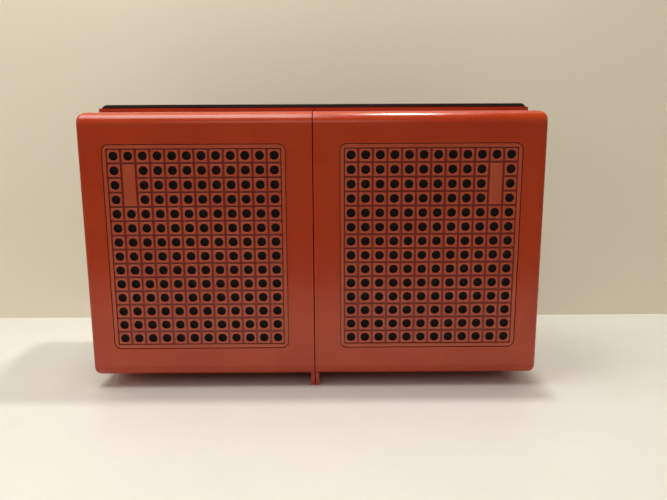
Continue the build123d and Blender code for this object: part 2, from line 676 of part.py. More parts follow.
def housing_screw_places():
    reach_x = HALF_WIDTH - BOSS_INSET
    reach_z = UNIT_HALF - BOSS_INSET
    return [(x, AXIS_Z + z) for x in (-reach_x, HALF_WIDTH / 2, reach_x) for z in (-reach_z, reach_z)]


def housing_screws():
    return group([screw(x, z, UNIT_REAR, 4 * BOSS_RADIUS) for x, z in housing_screw_places()])


def deck():
    width = CASE_WIDTH - 2 * (UNIT_WALL + FIT_GAP)
    height = UNIT_HEIGHT - 2 * (UNIT_WALL + FIT_GAP)
    spigot_height = RIM_HEIGHT - 2 * (BOX_WALL + FIT_GAP)
    spigot_radius = BOX_CORNER_RADIUS - BOX_WALL
    form = rounded(width, height, UNIT_CORNER_RADIUS - UNIT_WALL, 0, AXIS_Z, DECK_DEPTH, DECK_BACK)
    spigot = RectangleRounded(width, spigot_height, spigot_radius)
    spigot -= RectangleRounded(width - 2 * SPIGOT_WALL, spigot_height - 2 * SPIGOT_WALL,
                               spigot_radius - SPIGOT_WALL / 2)
    form += slab(spigot, 0, AXIS_Z, DECK_DEPTH - SPIGOT_REACH, DECK_DEPTH)
    well_outer = WELL_RADIUS + DECK_THICKNESS
    form += disc(well_outer, SPINDLE_X, AXIS_Z, DECK_DEPTH, WELL_BACK)
    form -= disc(WELL_RADIUS, SPINDLE_X, AXIS_Z, DECK_DEPTH, WELL_FLOOR)
    form -= disc(BEARING_RADIUS + FIT_GAP, SPINDLE_X, AXIS_Z, WELL_FLOOR, WELL_BACK)
    form -= disc(PULLEY_45_RADIUS + HOLE_MARGIN, MOTOR_X, MOTOR_Z, WELL_FLOOR, WELL_BACK)
    form -= disc(ARM_BUSH_RADIUS + FIT_GAP, ARM_X, ARM_PIVOT_Z, DECK_DEPTH, DECK_BACK)
    for x, z in rotary_places():
        form -= disc(CONTROL_SHAFT_RADIUS + HOLE_MARGIN, x, z, DECK_DEPTH, DECK_BACK)
    for x in (KNOB_LEFT_X, KNOB_RIGHT_X):
        form -= button_hole(x, DECK_DEPTH, DECK_BACK)
    form -= disc(CONTROL_SHAFT_RADIUS + RUNNING_GAP, CUE_X, CUE_Z, DECK_DEPTH, DECK_BACK)
    for x, z in housing_screw_places():
        form += disc(BOSS_RADIUS, x, z, DECK_BACK, UNIT_INNER_REAR)
        form -= disc(SCREW_HOLE_RADIUS, x, z, UNIT_INNER_REAR - 4 * BOSS_RADIUS, UNIT_INNER_REAR)
    return form


def rotary_places():
    """Volume, balance, tone and speed controls, left to right and top to bottom."""
    return [(x, z) for z in (KNOB_TOP_ROW, KNOB_LOW_ROW) for x in (KNOB_LEFT_X, KNOB_RIGHT_X)]


def button_hole(x, depth_low, depth_high):
    return rounded(BUTTON_WIDTH + 2 * BUTTON_GAP, BUTTON_HEIGHT + 2 * BUTTON_GAP,
                   BUTTON_CORNER + BUTTON_GAP, x, BUTTON_ROW_HEIGHT, depth_low, depth_high)


def control_panel():
    height = PANEL_HIGH - PANEL_LOW
    middle = (PANEL_HIGH + PANEL_LOW) / 2
    panel = rounded(PANEL_WIDTH, height, PANEL_RADIUS, PANEL_X, middle, PANEL_FACE, DECK_DEPTH)
    for x, z in rotary_places():
        panel -= disc(CONTROL_SHAFT_RADIUS + HOLE_MARGIN, x, z, PANEL_FACE, DECK_DEPTH)
    for x in (KNOB_LEFT_X, KNOB_RIGHT_X):
        panel -= button_hole(x, PANEL_FACE, DECK_DEPTH)
    return panel


def knob(x, z):
    back = PANEL_FACE - KNOB_LIFT
    front = back - KNOB_HEIGHT
    cap = disc(KNOB_RADIUS, x, z, front, back)
    cap = fillet(cap.edges().group_by(Axis.Y)[0], KNOB_EDGE)
    half = KNOB_LINE_WIDTH / 2
    cap -= block(x - half, x + half, front, front + KNOB_LINE_DEPTH,
                 z + KNOB_RADIUS / 3, z + KNOB_RADIUS)
    return cap + disc(CONTROL_SHAFT_RADIUS, x, z, back, DECK_BACK + CONTROL_BODY_DEPTH / 2)


def rotary_controls():
    bodies = []
    for x, z in rotary_places():
        body = disc(CONTROL_BODY_RADIUS, x, z, DECK_BACK, DECK_BACK + CONTROL_BODY_DEPTH)
        body += disc(CONTROL_NECK_RADIUS, x, z, DECK_DEPTH, DECK_BACK)
        body -= disc(CONTROL_SHAFT_RADIUS + RUNNING_GAP, x, z, DECK_DEPTH,
                     DECK_BACK + CONTROL_BODY_DEPTH / 2 + FIT_GAP)
        bodies.append(body)
    return group(bodies)


def push_button(x):
    face = DECK_DEPTH - BUTTON_PROUD
    cap = rounded(BUTTON_WIDTH, BUTTON_HEIGHT, BUTTON_CORNER, x, BUTTON_ROW_HEIGHT, face, DECK_BACK)
    cap = fillet(cap.edges().group_by(Axis.Y)[0], BUTTON_EDGE)
    half = BUTTON_STEM / 2
    return cap + block(x - half, x + half, DECK_BACK, DECK_BACK + SWITCH_DEPTH / 2,
                       BUTTON_ROW_HEIGHT - half, BUTTON_ROW_HEIGHT + half)


def push_switches():
    bodies = []
    half = SWITCH_SIZE / 2
    slot = BUTTON_STEM / 2 + BUTTON_GAP
    front = DECK_BACK + BUTTON_TRAVEL + BUTTON_GAP
    for x in (KNOB_LEFT_X, KNOB_RIGHT_X):
        body = block(x - half, x + half, front, front + SWITCH_DEPTH,
                     BUTTON_ROW_HEIGHT - half, BUTTON_ROW_HEIGHT + half)
        for side in (-1, 1):
            ear = x + side * (BUTTON_WIDTH / 2 + BUTTON_GAP + SWITCH_EAR / 2)
            body += block(ear - SWITCH_EAR / 2, ear + SWITCH_EAR / 2, DECK_BACK, front + SWITCH_BRIDGE,
                          BUTTON_ROW_HEIGHT - half, BUTTON_ROW_HEIGHT + half)
            body += block(min(x, ear), max(x, ear), front, front + SWITCH_BRIDGE,
                          BUTTON_ROW_HEIGHT - half, BUTTON_ROW_HEIGHT + half)
        body -= block(x - slot, x + slot, front, front + SWITCH_DEPTH - SWITCH_END_WALL,
                      BUTTON_ROW_HEIGHT - slot, BUTTON_ROW_HEIGHT + slot)
        bodies.append(body)
    return group(bodies)


def cue_lever():
    front = DECK_DEPTH - FIT_GAP
    top = front - CUE_RADIUS
    half = CUE_ARM_WIDTH / 2
    lever = disc(CUE_RADIUS, CUE_X, CUE_Z, top, front)
    lever += block(CUE_X - half, CUE_X + half, top, top + CUE_KNOB_RADIUS, CUE_Z - CUE_LENGTH, CUE_Z)
    lever += disc(CUE_KNOB_RADIUS, CUE_X, CUE_Z - CUE_LENGTH, top - CUE_KNOB_RADIUS, top + CUE_KNOB_RADIUS)
    return lever + disc(CONTROL_SHAFT_RADIUS, CUE_X, CUE_Z, front, DECK_BACK + CUE_KNOB_RADIUS)


def platter():
    bottom = WELL_FLOOR - PLATTER_TO_WELL
    plate_back = PLATTER_DEPTH + PLATTER_PLATE
    form = turned(
        [
            (JOURNAL_RADIUS, PLATTER_DEPTH),
            (PLATTER_RADIUS, PLATTER_DEPTH),
            (PLATTER_RADIUS, bottom),
            (PLATTER_INNER_RADIUS, bottom),
            (PLATTER_INNER_RADIUS, plate_back),
            (PLATTER_HUB_RADIUS, plate_back),
            (PLATTER_HUB_RADIUS, JOURNAL_DEPTH),
            (JOURNAL_RADIUS, JOURNAL_DEPTH),
        ],
        SPINDLE_X, AXIS_Z,
    )
    circles = form.edges().filter_by(GeomType.CIRCLE)
    rim = circles.filter_by(lambda edge: edge.radius > PLATTER_INNER_RADIUS + PLATTER_RIM_WALL / 2)
    return fillet(rim.group_by(Axis.Y)[0], PLATTER_RIM_RADIUS)


def platter_mat():
    mat = tube(PLATTER_RADIUS - MAT_EDGE, JOURNAL_RADIUS + FIT_GAP, SPINDLE_X, AXIS_Z,
               MAT_DEPTH, PLATTER_DEPTH)
    groove_depth = MAT_THICKNESS / 4
    for index in range(MAT_RINGS):
        radius = MAT_RING_RADIUS + index * MAT_RING_SPACING
        mat -= tube(radius + MAT_RING_WIDTH, radius, SPINDLE_X, AXIS_Z, MAT_DEPTH, MAT_DEPTH + groove_depth)
    return mat


def spindle():
    tip = MAT_DEPTH - SPINDLE_REACH
    foot = JOURNAL_DEPTH + JOURNAL_LENGTH
    return turned(
        [
            (0, tip),
            (SPINDLE_RADIUS - SPINDLE_TIP_INSET, tip),
            (SPINDLE_RADIUS, tip + SPINDLE_TAPER),
            (SPINDLE_RADIUS, MAT_DEPTH),
            (JOURNAL_RADIUS, MAT_DEPTH),
            (JOURNAL_RADIUS, foot),
            (0, foot),
        ],
        SPINDLE_X, AXIS_Z,
    )


def platter_bearing():
    top = JOURNAL_DEPTH + FIT_GAP
    bore_end = JOURNAL_DEPTH + JOURNAL_LENGTH + FIT_GAP
    form = disc(BEARING_RADIUS, SPINDLE_X, AXIS_Z, top, bore_end + BEARING_END_WALL)
    flange_front = WELL_FLOOR - BEARING_FLANGE_THICKNESS
    form += disc(BEARING_FLANGE_RADIUS, SPINDLE_X, AXIS_Z, flange_front, WELL_FLOOR)
    return form - disc(JOURNAL_RADIUS + RUNNING_GAP, SPINDLE_X, AXIS_Z, top, bore_end)


def idler_bracket():
    front = WELL_FLOOR - IDLER_PLATE
    stud_top = IDLER_DEPTH - IDLER_THICKNESS
    outline = SlotCenterToCenter(IDLER_PLATE_SPAN, IDLER_PLATE_WIDTH)
    span = slab(outline, IDLER_X - IDLER_PLATE_SPAN / 2, IDLER_Z + IDLER_PLATE_DROP, front, WELL_FLOOR)
    span += disc(IDLER_PLATE_WIDTH / 2, IDLER_X, IDLER_Z, front, WELL_FLOOR)
    return span + disc(IDLER_STUD_RADIUS, IDLER_X, IDLER_Z, stud_top, WELL_FLOOR)


def idler_wheel():
    back = IDLER_DEPTH + IDLER_THICKNESS
    bore = IDLER_STUD_RADIUS + RUNNING_GAP
    web = tube(IDLER_RADIUS - IDLER_TYRE, bore, IDLER_X, IDLER_Z, IDLER_DEPTH, back)
    return web + tube(IDLER_HUB_RADIUS, bore, IDLER_X, IDLER_Z, IDLER_DEPTH - IDLER_HUB_FRONT,
                      back + IDLER_HUB_BACK)


def idler_tyre():
    return tube(IDLER_RADIUS, IDLER_RADIUS - IDLER_TYRE, IDLER_X, IDLER_Z,
                IDLER_DEPTH, IDLER_DEPTH + IDLER_THICKNESS)


def motor_stator():
    half = MOTOR_SIZE / 2
    stack = block(MOTOR_X - half, MOTOR_X + half, MOTOR_STACK_FRONT, MOTOR_STACK_BACK,
                  MOTOR_Z - half, MOTOR_Z + half)
    stack -= disc(ROTOR_RADIUS + ROTOR_GAP, MOTOR_X, MOTOR_Z, MOTOR_STACK_FRONT, MOTOR_STACK_BACK)
    for side in (-1, 1):
        x = MOTOR_X + side * (half - BOSS_RADIUS)
        for edge in (-1, 1):
            z = MOTOR_Z + edge * (half - BOSS_RADIUS)
            stack -= disc(SCREW_RADIUS, x, z, MOTOR_STACK_FRONT, MOTOR_STACK_BACK)
    return stack


def motor_coil():
    half = MOTOR_SIZE / 2
    z_low = MOTOR_Z - half + BOSS_RADIUS
    width = half - 2 * BOSS_RADIUS
    coils = []
    for front in (MOTOR_FRONT + MOTOR_PLATE + COIL_GAP, MOTOR_STACK_BACK):
        coil = block(MOTOR_X - width, MOTOR_X + width, front, front + MOTOR_AIR - COIL_GAP,
                     z_low - BOSS_RADIUS / 2, z_low + 1.5 * BOSS_RADIUS)
        coils.append(fillet(coil.edges().filter_by(Axis.Z), COIL_RADIUS))
    return group(coils)


def motor_brackets():
    """Two end plates, each on four short legs, with the shaft's bearing holes."""
    half = MOTOR_SIZE / 2
    plates = []
    ends = ((MOTOR_FRONT, MOTOR_FRONT + MOTOR_PLATE), (MOTOR_BACK - MOTOR_PLATE, MOTOR_STACK_BACK))
    for front, leg_front in ends:
        plate = rounded(MOTOR_SIZE, MOTOR_SIZE, MOTOR_PLATE_RADIUS, MOTOR_X, MOTOR_Z,
                        front, front + MOTOR_PLATE)
        for side in (-1, 1):
            for edge in (-1, 1):
                x = MOTOR_X + side * (half - BOSS_RADIUS)
                z = MOTOR_Z + edge * (half - BOSS_RADIUS)
                plate += disc(MOTOR_LEG_RADIUS, x, z, leg_front, leg_front + MOTOR_AIR)
        plate -= disc(MOTOR_SHAFT_RADIUS + RUNNING_GAP, MOTOR_X, MOTOR_Z, front, front + MOTOR_PLATE)
        plates.append(plate)
    return group(plates)


def motor_rotor():
    rotor = disc(ROTOR_RADIUS, MOTOR_X, MOTOR_Z, MOTOR_STACK_FRONT, MOTOR_STACK_BACK)
    pulley_front = IDLER_DEPTH - PULLEY_STEP
    rotor += disc(MOTOR_SHAFT_RADIUS, MOTOR_X, MOTOR_Z, pulley_front, MOTOR_BACK)
    step = IDLER_DEPTH - FIT_GAP
    rotor += disc(PULLEY_45_RADIUS, MOTOR_X, MOTOR_Z, pulley_front, step)
    return rotor + disc(PULLEY_33_RADIUS, MOTOR_X, MOTOR_Z, step, IDLER_DEPTH + PULLEY_STEP)


def arm_rest():
    """Post under the arm tube and a clip beside it, both standing on the deck."""
    middle = ARM_PIVOT_Z - ARM_REST_DISTANCE
    low = middle - ARM_REST_WIDTH / 2
    high = middle + ARM_REST_WIDTH / 2
    side = ARM_X + ARM_TUBE_RADIUS + FIT_GAP
    post_front = ARM_DEPTH + ARM_TUBE_RADIUS + 4 * FIT_GAP
    post = block(ARM_X - 2 * ARM_TUBE_RADIUS, side, post_front, DECK_DEPTH, low, high)
    post = fillet(post.edges().filter_by(Axis.Y).group_by(Axis.X)[0], HEADSHELL_EDGE)
    clip = block(side, side + ARM_REST_CLIP, ARM_DEPTH - FIT_GAP, DECK_DEPTH, low, high)
    clip = fillet(clip.edges().filter_by(Axis.Y).group_by(Axis.X)[-1], HEADSHELL_EDGE)
    return post, clip


def arm_base():
    """Pivot base with its bush, and the arm's rest further down the deck."""
    base = disc(ARM_BASE_RADIUS, ARM_X, ARM_PIVOT_Z, ARM_BASE_TOP, DECK_DEPTH)
    base = fillet(base.edges().group_by(Axis.Y)[0], ARM_BASE_EDGE)
    base += disc(ARM_BUSH_RADIUS, ARM_X, ARM_PIVOT_Z, DECK_DEPTH, ARM_BASE_TOP + ARM_SHAFT_LENGTH)
    base -= disc(ARM_SHAFT_RADIUS + RUNNING_GAP, ARM_X, ARM_PIVOT_Z,
                 ARM_BASE_TOP, ARM_BASE_TOP + ARM_SHAFT_LENGTH)
    return group([base, *arm_rest()])


def arm_yoke():
    form = disc(YOKE_RADIUS, ARM_X, ARM_PIVOT_Z, YOKE_FRONT, YOKE_BACK)
    form += disc(ARM_SHAFT_RADIUS, ARM_X, ARM_PIVOT_Z, YOKE_BACK, YOKE_BACK + ARM_SHAFT_LENGTH)
    half = ARM_HUB_SIZE / 2 + 2 * YOKE_GAP
    for side in (-1, 1):
        inner = ARM_X + side * YOKE_INNER
        outer = inner + side * YOKE_CHEEK
        cheek = block(min(inner, outer), max(inner, outer), ARM_DEPTH - half, YOKE_FRONT,
                      ARM_PIVOT_Z - half, ARM_PIVOT_Z + half)
        form += fillet(cheek.edges().filter_by(Axis.X).group_by(Axis.Y)[0], ARM_HUB_SIZE / 2)
    reach = YOKE_INNER + YOKE_CHEEK
    return form - bar_x(ARM_PIN_RADIUS + RUNNING_GAP, ARM_X - reach, ARM_X + reach, ARM_DEPTH, ARM_PIVOT_Z)


def arm_hub():
    half = ARM_HUB_SIZE / 2
    hub = block(ARM_X - ARM_HUB_WIDTH / 2, ARM_X + ARM_HUB_WIDTH / 2, ARM_DEPTH - half, ARM_DEPTH + half,
                ARM_PIVOT_Z - 2 * half, ARM_PIVOT_Z + 2 * half)
    hub = fillet(hub.edges().filter_by(Axis.Z), ARM_HUB_EDGE)
    hub -= bar_z(ARM_TUBE_RADIUS, ARM_PIVOT_Z - 2 * half, ARM_PIVOT_Z + 2 * half, ARM_X, ARM_DEPTH)
    reach = YOKE_INNER + YOKE_CHEEK
    for side in (-1, 1):
        inner = ARM_X + side * ARM_HUB_WIDTH / 2
        outer = ARM_X + side * reach
        hub += bar_x(ARM_PIN_RADIUS, min(inner, outer), max(inner, outer), ARM_DEPTH, ARM_PIVOT_Z)
    return hub


def arm_tube():
    low = STYLUS_Z + HEADSHELL_LENGTH - HEADSHELL_SOCKET
    return bar_z(ARM_TUBE_RADIUS, low, ARM_PIVOT_Z + ARM_TAIL, ARM_X, ARM_DEPTH)


def counterweight():
    high = ARM_PIVOT_Z + ARM_TAIL - COUNTERWEIGHT_INSET
    low = high - COUNTERWEIGHT_LENGTH
    weight = bar_z(COUNTERWEIGHT_RADIUS, low, high, ARM_X, ARM_DEPTH)
    weight = fillet(weight.edges().filter_by(GeomType.CIRCLE), COUNTERWEIGHT_EDGE)
    return weight - bar_z(ARM_TUBE_RADIUS, low, high, ARM_X, ARM_DEPTH)


def headshell():
    low = STYLUS_Z - HEADSHELL_TOE
    high = STYLUS_Z + HEADSHELL_LENGTH
    half = HEADSHELL_WIDTH / 2
    front = ARM_DEPTH - HEADSHELL_HEIGHT / 2 - HEADSHELL_WALL
    back = front + HEADSHELL_HEIGHT
    shell = block(ARM_X - half, ARM_X + half, front, back, low, high)
    shell = fillet(shell.edges().group_by(Axis.Y)[0], HEADSHELL_EDGE)
    shell -= block(ARM_X - half + HEADSHELL_WALL, ARM_X + half - HEADSHELL_WALL,
                   front + HEADSHELL_WALL, back, low + HEADSHELL_WALL, high - HEADSHELL_NECK)
    shell -= bar_z(ARM_TUBE_RADIUS, high - HEADSHELL_SOCKET, high, ARM_X, ARM_DEPTH)
    finger_low = low + FINGER_INSET
    return shell + block(ARM_X + half, ARM_X + half + FINGER_LENGTH, front, front + HEADSHELL_WALL,
                         finger_low, finger_low + FINGER_WIDTH)


def cartridge():
    half = CARTRIDGE_WIDTH / 2
    front = ARM_DEPTH - HEADSHELL_HEIGHT / 2
    back = front + HEADSHELL_HEIGHT - HEADSHELL_WALL
    low = STYLUS_Z - CARTRIDGE_TOE
    return block(ARM_X - half, ARM_X + half, front, back, low, low + CARTRIDGE_LENGTH)


def stylus():
    front = ARM_DEPTH + HEADSHELL_HEIGHT / 2 - HEADSHELL_WALL
    back = front + STYLUS_PLATE
    half = STYLUS_HOLDER_WIDTH / 2
    near = STYLUS_Z + STYLUS_PLATE
    holder = block(ARM_X - half, ARM_X + half, front, back, near, near + STYLUS_HOLDER_LENGTH)
    lever = block(ARM_X - STYLUS_TIP_RADIUS, ARM_X + STYLUS_TIP_RADIUS, front, back,
                  STYLUS_Z - STYLUS_PLATE, near)
    reach = STYLUS_DROP - STYLUS_PLATE / 2
    tip = Pos(ARM_X, depth_y(back + reach / 2 - STYLUS_PLATE / 4), STYLUS_Z)
    tip = tip * Rot(-90, 0, 0) * Cone(STYLUS_TIP_RADIUS, STYLUS_POINT_RADIUS, reach)
    return holder + lever + tip


def handle_pins():
    pins = []
    inner = HANDLE_RECESS_WIDTH / 2 - HANDLE_SIDE_GAP - HANDLE_ARM_WIDTH
    outer = HANDLE_RECESS_WIDTH / 2 + HANDLE_RECESS_WALL
    for side in (-1, 1):
        low, high = sorted((side * inner, side * outer))
        pins.append(bar_x(HANDLE_PIN_RADIUS, low, high, HANDLE_PIN_DEPTH, HANDLE_PIN_Z))
    return group(pins)


def handle():
    outer = HANDLE_RECESS_WIDTH / 2 - HANDLE_SIDE_GAP
    half = HANDLE_BAR / 2
    back = HANDLE_RECESS_BACK - HANDLE_REAR_GAP
    low = HANDLE_PIN_Z - half
    high = HANDLE_PIN_Z + half
    grip = block(-outer, outer, back - HANDLE_BAR, back, low, high)
    form = grip
    for side in (-1, 1):
        x_low, x_high = sorted((side * outer, side * (outer - HANDLE_ARM_WIDTH)))
        form += block(x_low, x_high, HANDLE_PIN_DEPTH, back, low, high)
        form += bar_x(half, x_low, x_high, HANDLE_PIN_DEPTH, HANDLE_PIN_Z)
    form = fillet(form.edges().filter_by(Axis.X).group_by(Axis.Y)[-1], HANDLE_EDGE)
    return form - bar_x(HANDLE_PIN_RADIUS + RUNNING_GAP, -outer, outer, HANDLE_PIN_DEPTH, HANDLE_PIN_Z)


def mains_inlet():
    half = INLET_WIDTH / 2
    reach = INLET_LENGTH / 2
    top = UNIT_TOP - FIT_GAP
    low = top - INLET_DROP
    body = block(INLET_X - half, INLET_X + half, SOCKET_DEPTH - reach, SOCKET_DEPTH + reach, low, top)
    under = UNIT_TOP - UNIT_WALL
    wide = half + INLET_FLANGE
    long = reach + INLET_FLANGE
    body += block(INLET_X - wide, INLET_X + wide, SOCKET_DEPTH - long, SOCKET_DEPTH + long,
                  under - INLET_FLANGE_THICKNESS, under)
    body -= block(INLET_X - half + INLET_WALL, INLET_X + half - INLET_WALL,
                  SOCKET_DEPTH - reach + INLET_WALL, SOCKET_DEPTH + reach - INLET_WALL,
                  low + INLET_WALL, top)
    for x in (INLET_X - INLET_PIN_OFFSET, INLET_X + INLET_PIN_OFFSET):
        body += bar_z(INLET_PIN_RADIUS, low + INLET_WALL, top - INLET_DROP / 2, x, SOCKET_DEPTH)
    return body


def din_sockets():
    foot = UNIT_TOP - FIT_GAP - INLET_DROP
    socket = din_insert(INLET_DROP, UNIT_WALL - FIT_GAP)
    return group([Pos(x, depth_y(SOCKET_DEPTH), foot) * socket for x in din_places()])


def rubber_feet():
    feet = []
    for x in (-HALF_WIDTH + 3 * BOSS_INSET, HALF_WIDTH - 3 * BOSS_INSET):
        for depth in (UNIT_FRONT + 2 * FOOT_RADIUS, UNIT_REAR - 2 * FOOT_RADIUS):
            feet.append(bar_z(FOOT_RADIUS, 0, FOOT_HEIGHT, x, depth))
        for z in (AXIS_Z - UNIT_HALF + 3 * BOSS_INSET, AXIS_Z + UNIT_HALF - 3 * BOSS_INSET):
            feet.append(disc(FOOT_RADIUS, x, z, UNIT_REAR, CASE_DEPTH))
    return group(feet)


def transformer_core():
    half = TRANSFORMER_WIDTH / 2
    front = TRANSFORMER_FRONT
    back = UNIT_INNER_REAR
    low = TRANSFORMER_HEIGHT - TRANSFORMER_STACK / 2
    high = TRANSFORMER_HEIGHT + TRANSFORMER_STACK / 2
    core = block(TRANSFORMER_X - half, TRANSFORMER_X + half, front, back, low, high)
    limb = TRANSFORMER_WIDTH / 6
    for side in (-1, 1):
        x = TRANSFORMER_X + side * 1.5 * limb
        core -= block(x - limb / 2, x + limb / 2, front + limb, back - limb, low, high)
    return core


def transformer_winding():
    limb = TRANSFORMER_WIDTH / 6
    back = UNIT_INNER_REAR - limb - FIT_GAP
    front = TRANSFORMER_FRONT + limb + FIT_GAP
    outer = 2 * limb - FIT_GAP
    rise = TRANSFORMER_STACK / 2 + limb - FIT_GAP
    coil = block(TRANSFORMER_X - outer, TRANSFORMER_X + outer, front, back,
                 TRANSFORMER_HEIGHT - rise, TRANSFORMER_HEIGHT + rise)
    coil = fillet(coil.edges().filter_by(Axis.Y), WINDING_RADIUS)
    return coil - block(TRANSFORMER_X - limb, TRANSFORMER_X + limb, front, back,
                        TRANSFORMER_HEIGHT - TRANSFORMER_STACK / 2,
                        TRANSFORMER_HEIGHT + TRANSFORMER_STACK / 2)


def amplifier_board():
    board = rounded(BOARD_WIDTH, BOARD_LENGTH, BOARD_CORNER, BOARD_X, BOARD_HEIGHT, BOARD_FRONT, BOARD_BACK)
    for side in (-1, 1):
        for edge in (-1, 1):
            x = BOARD_X + side * (BOARD_WIDTH / 2 - BOSS_RADIUS)
            z = BOARD_HEIGHT + edge * (BOARD_LENGTH / 2 - BOSS_RADIUS)
            board += disc(SCREW_HEAD_RADIUS, x, z, BOARD_BACK, UNIT_INNER_REAR)
    return board


def capacitors():
    cans = []
    for index, radius in enumerate((CAN_RADIUS, CAN_RADIUS, SMALL_CAN_RADIUS, SMALL_CAN_RADIUS)):
        x = BOARD_X - BOARD_WIDTH / 2 + CAN_INSET + CAN_SPACING * index
        can = disc(radius, x, BOARD_HEIGHT + CAN_RISE, BOARD_FRONT - 3 * radius, BOARD_FRONT)
        cans.append(fillet(can.edges().group_by(Axis.Y)[0], CAN_EDGE))
    return group(cans)


def heat_sink():
    low = BOARD_HEIGHT - BOARD_LENGTH / 2 + SINK_RISE
    half = BOARD_WIDTH / 2 - SINK_INSET
    front = BOARD_FRONT - SINK_REACH
    sink = block(BOARD_X - half, BOARD_X + half, front, BOARD_FRONT, low, low + SINK_PLATE)
    first = BOARD_X - half + SINK_FIN_THICKNESS / 2
    spacing = (2 * half - SINK_FIN_THICKNESS) / (SINK_FINS - 1)
    for index in range(SINK_FINS):
        x = first + index * spacing
        sink += block(x - SINK_FIN_THICKNESS / 2, x + SINK_FIN_THICKNESS / 2,
                      front, BOARD_FRONT - SINK_PLATE, low, low + SINK_FIN_HEIGHT)
    return sink


SPEAKER_PIECES = {
    "speaker_shell": speaker_shell,
    "speaker_grille": grille,
    "grille_cloth": grille_cloth,
    "driver_basket": driver_basket,
    "driver_cone": driver_cone,
    "driver_magnet": driver_magnet,
    "speaker_back_panel": back_panel,
    "back_panel_screws": back_screws,
    "lead_socket": lead_socket,
}

UNIT_PIECES = {
    "rear_housing": rear_housing,
    "deck": deck,
    "control_panel": control_panel,
    "platter_bearing": platter_bearing,
    "platter": platter,
    "platter_mat": platter_mat,
    "spindle": spindle,
    "idler_bracket": idler_bracket,
    "idler_wheel": idler_wheel,
    "idler_tyre": idler_tyre,
    "motor_stator": motor_stator,
    "motor_coil": motor_coil,
    "motor_brackets": motor_brackets,
    "motor_rotor": motor_rotor,
    "arm_base": arm_base,
    "arm_yoke": arm_yoke,
    "arm_hub": arm_hub,
    "arm_tube": arm_tube,
    "counterweight": counterweight,
    "headshell": headshell,
    "cartridge": cartridge,
    "stylus": stylus,
    "cue_lever": cue_lever,
    "rotary_controls": rotary_controls,
    "push_switches": push_switches,
    "handle": handle,
    "handle_pins": handle_pins,
    "mains_inlet": mains_inlet,
    "din_sockets": din_sockets,
    "rubber_feet": rubber_feet,
    "housing_screws": housing_screws,
    "transformer_core": transformer_core,
    "transformer_winding": transformer_winding,
    "amplifier_board": amplifier_board,
    "capacitors": capacitors,
    "heat_sink": heat_sink,
}

KNOB_NAMES = ("volume_knob", "balance_knob", "tone_knob", "speed_knob")
BUTTON_PLACES = {"power_button": KNOB_LEFT_X, "mode_button": KNOB_RIGHT_X}


def all_nodes():
    nodes = {}
    for name, make in SPEAKER_PIECES.items():
        piece = make()
        nodes["right_" + name] = piece
        nodes["left_" + name] = mirrored(piece)
    for name, make in UNIT_PIECES.items():
        nodes[name] = make()
    for name, (x, z) in zip(KNOB_NAMES, rotary_places()):
        nodes[name] = knob(x, z)
    for name, x in BUTTON_PLACES.items():
        nodes[name] = push_button(x)
    return nodes


os.makedirs("parts", exist_ok=True)
for node_name, node in all_nodes().items():
    export_step(node, "parts/" + node_name + ".step")
    print(node_name, len(node.solids()))
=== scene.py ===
# %% [markdown]
# # A portable stereo record player, stored upright
# Two orange-red speaker boxes close over the front of a black turntable unit. Each box has a
# moulded grille of square pads with a round hole in each. Behind the boxes are the platter, the
# pickup arm and the controls. The frame brings every solid of the construction in its place, in
# metres: X to the right, +Y backwards from the speaker fronts, +Z up.

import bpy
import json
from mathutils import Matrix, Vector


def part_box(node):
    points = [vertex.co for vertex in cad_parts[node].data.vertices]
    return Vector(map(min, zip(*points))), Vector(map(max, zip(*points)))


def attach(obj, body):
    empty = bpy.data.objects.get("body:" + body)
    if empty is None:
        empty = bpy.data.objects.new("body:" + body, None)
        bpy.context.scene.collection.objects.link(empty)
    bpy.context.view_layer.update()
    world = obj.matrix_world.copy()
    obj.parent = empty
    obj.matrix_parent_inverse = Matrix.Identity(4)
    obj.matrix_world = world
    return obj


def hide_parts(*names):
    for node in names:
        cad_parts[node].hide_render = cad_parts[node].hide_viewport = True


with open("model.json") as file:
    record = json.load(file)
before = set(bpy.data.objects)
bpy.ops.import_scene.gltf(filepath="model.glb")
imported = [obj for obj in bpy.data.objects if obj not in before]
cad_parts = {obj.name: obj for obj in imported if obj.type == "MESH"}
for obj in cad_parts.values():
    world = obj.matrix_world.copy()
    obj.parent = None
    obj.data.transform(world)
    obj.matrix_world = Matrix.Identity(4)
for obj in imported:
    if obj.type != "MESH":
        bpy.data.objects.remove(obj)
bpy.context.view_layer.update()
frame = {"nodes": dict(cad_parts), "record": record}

# %% [markdown]
# ## Lengths and colours
# The construction is drawn in millimetres, with depths measured back from the speaker fronts, so
# two small helpers turn those into a point in the frame. Colours are written as sRGB hex codes,
# as they would be read from a colour card, and one function turns them into the linear values
# that Blender's shaders work in.

# %% Places
import json
import math

import bmesh
import bpy
from mathutils import Matrix, Vector

MM = 0.001
FRONT_DEPTH = 75.0


def place(x, depth, z):
    """Point in the frame from millimetres, the depth measured back from the speaker fronts."""
    return Vector((x * MM, (depth - FRONT_DEPTH) * MM, z * MM))


print("the middle of the case front is at", tuple(round(v, 3) for v in place(0, 0, 150)))


# %% Colours
def rgb(code):
    """Linear colour from an sRGB hex code."""
    values = [int(code[i:i + 2], 16) / 255 for i in (1, 3, 5)]
    linear = [v / 12.92 if v <= 0.04045 else ((v + 0.055) / 1.055) ** 2.4 for v in values]
    return (*linear, 1.0)


print("a mid grey of #808080 is", round(rgb("#808080")[0], 3), "in linear light")

# %% [markdown]
# ## The camera
# The photograph looks slightly down at the case from straight ahead, from about 0.7 m. A camera
# could be turned by hand until the picture looks right. Here its place and its three small turns
# were fitted to the holes of both grilles, so the picture lines up to a fraction of a pixel.

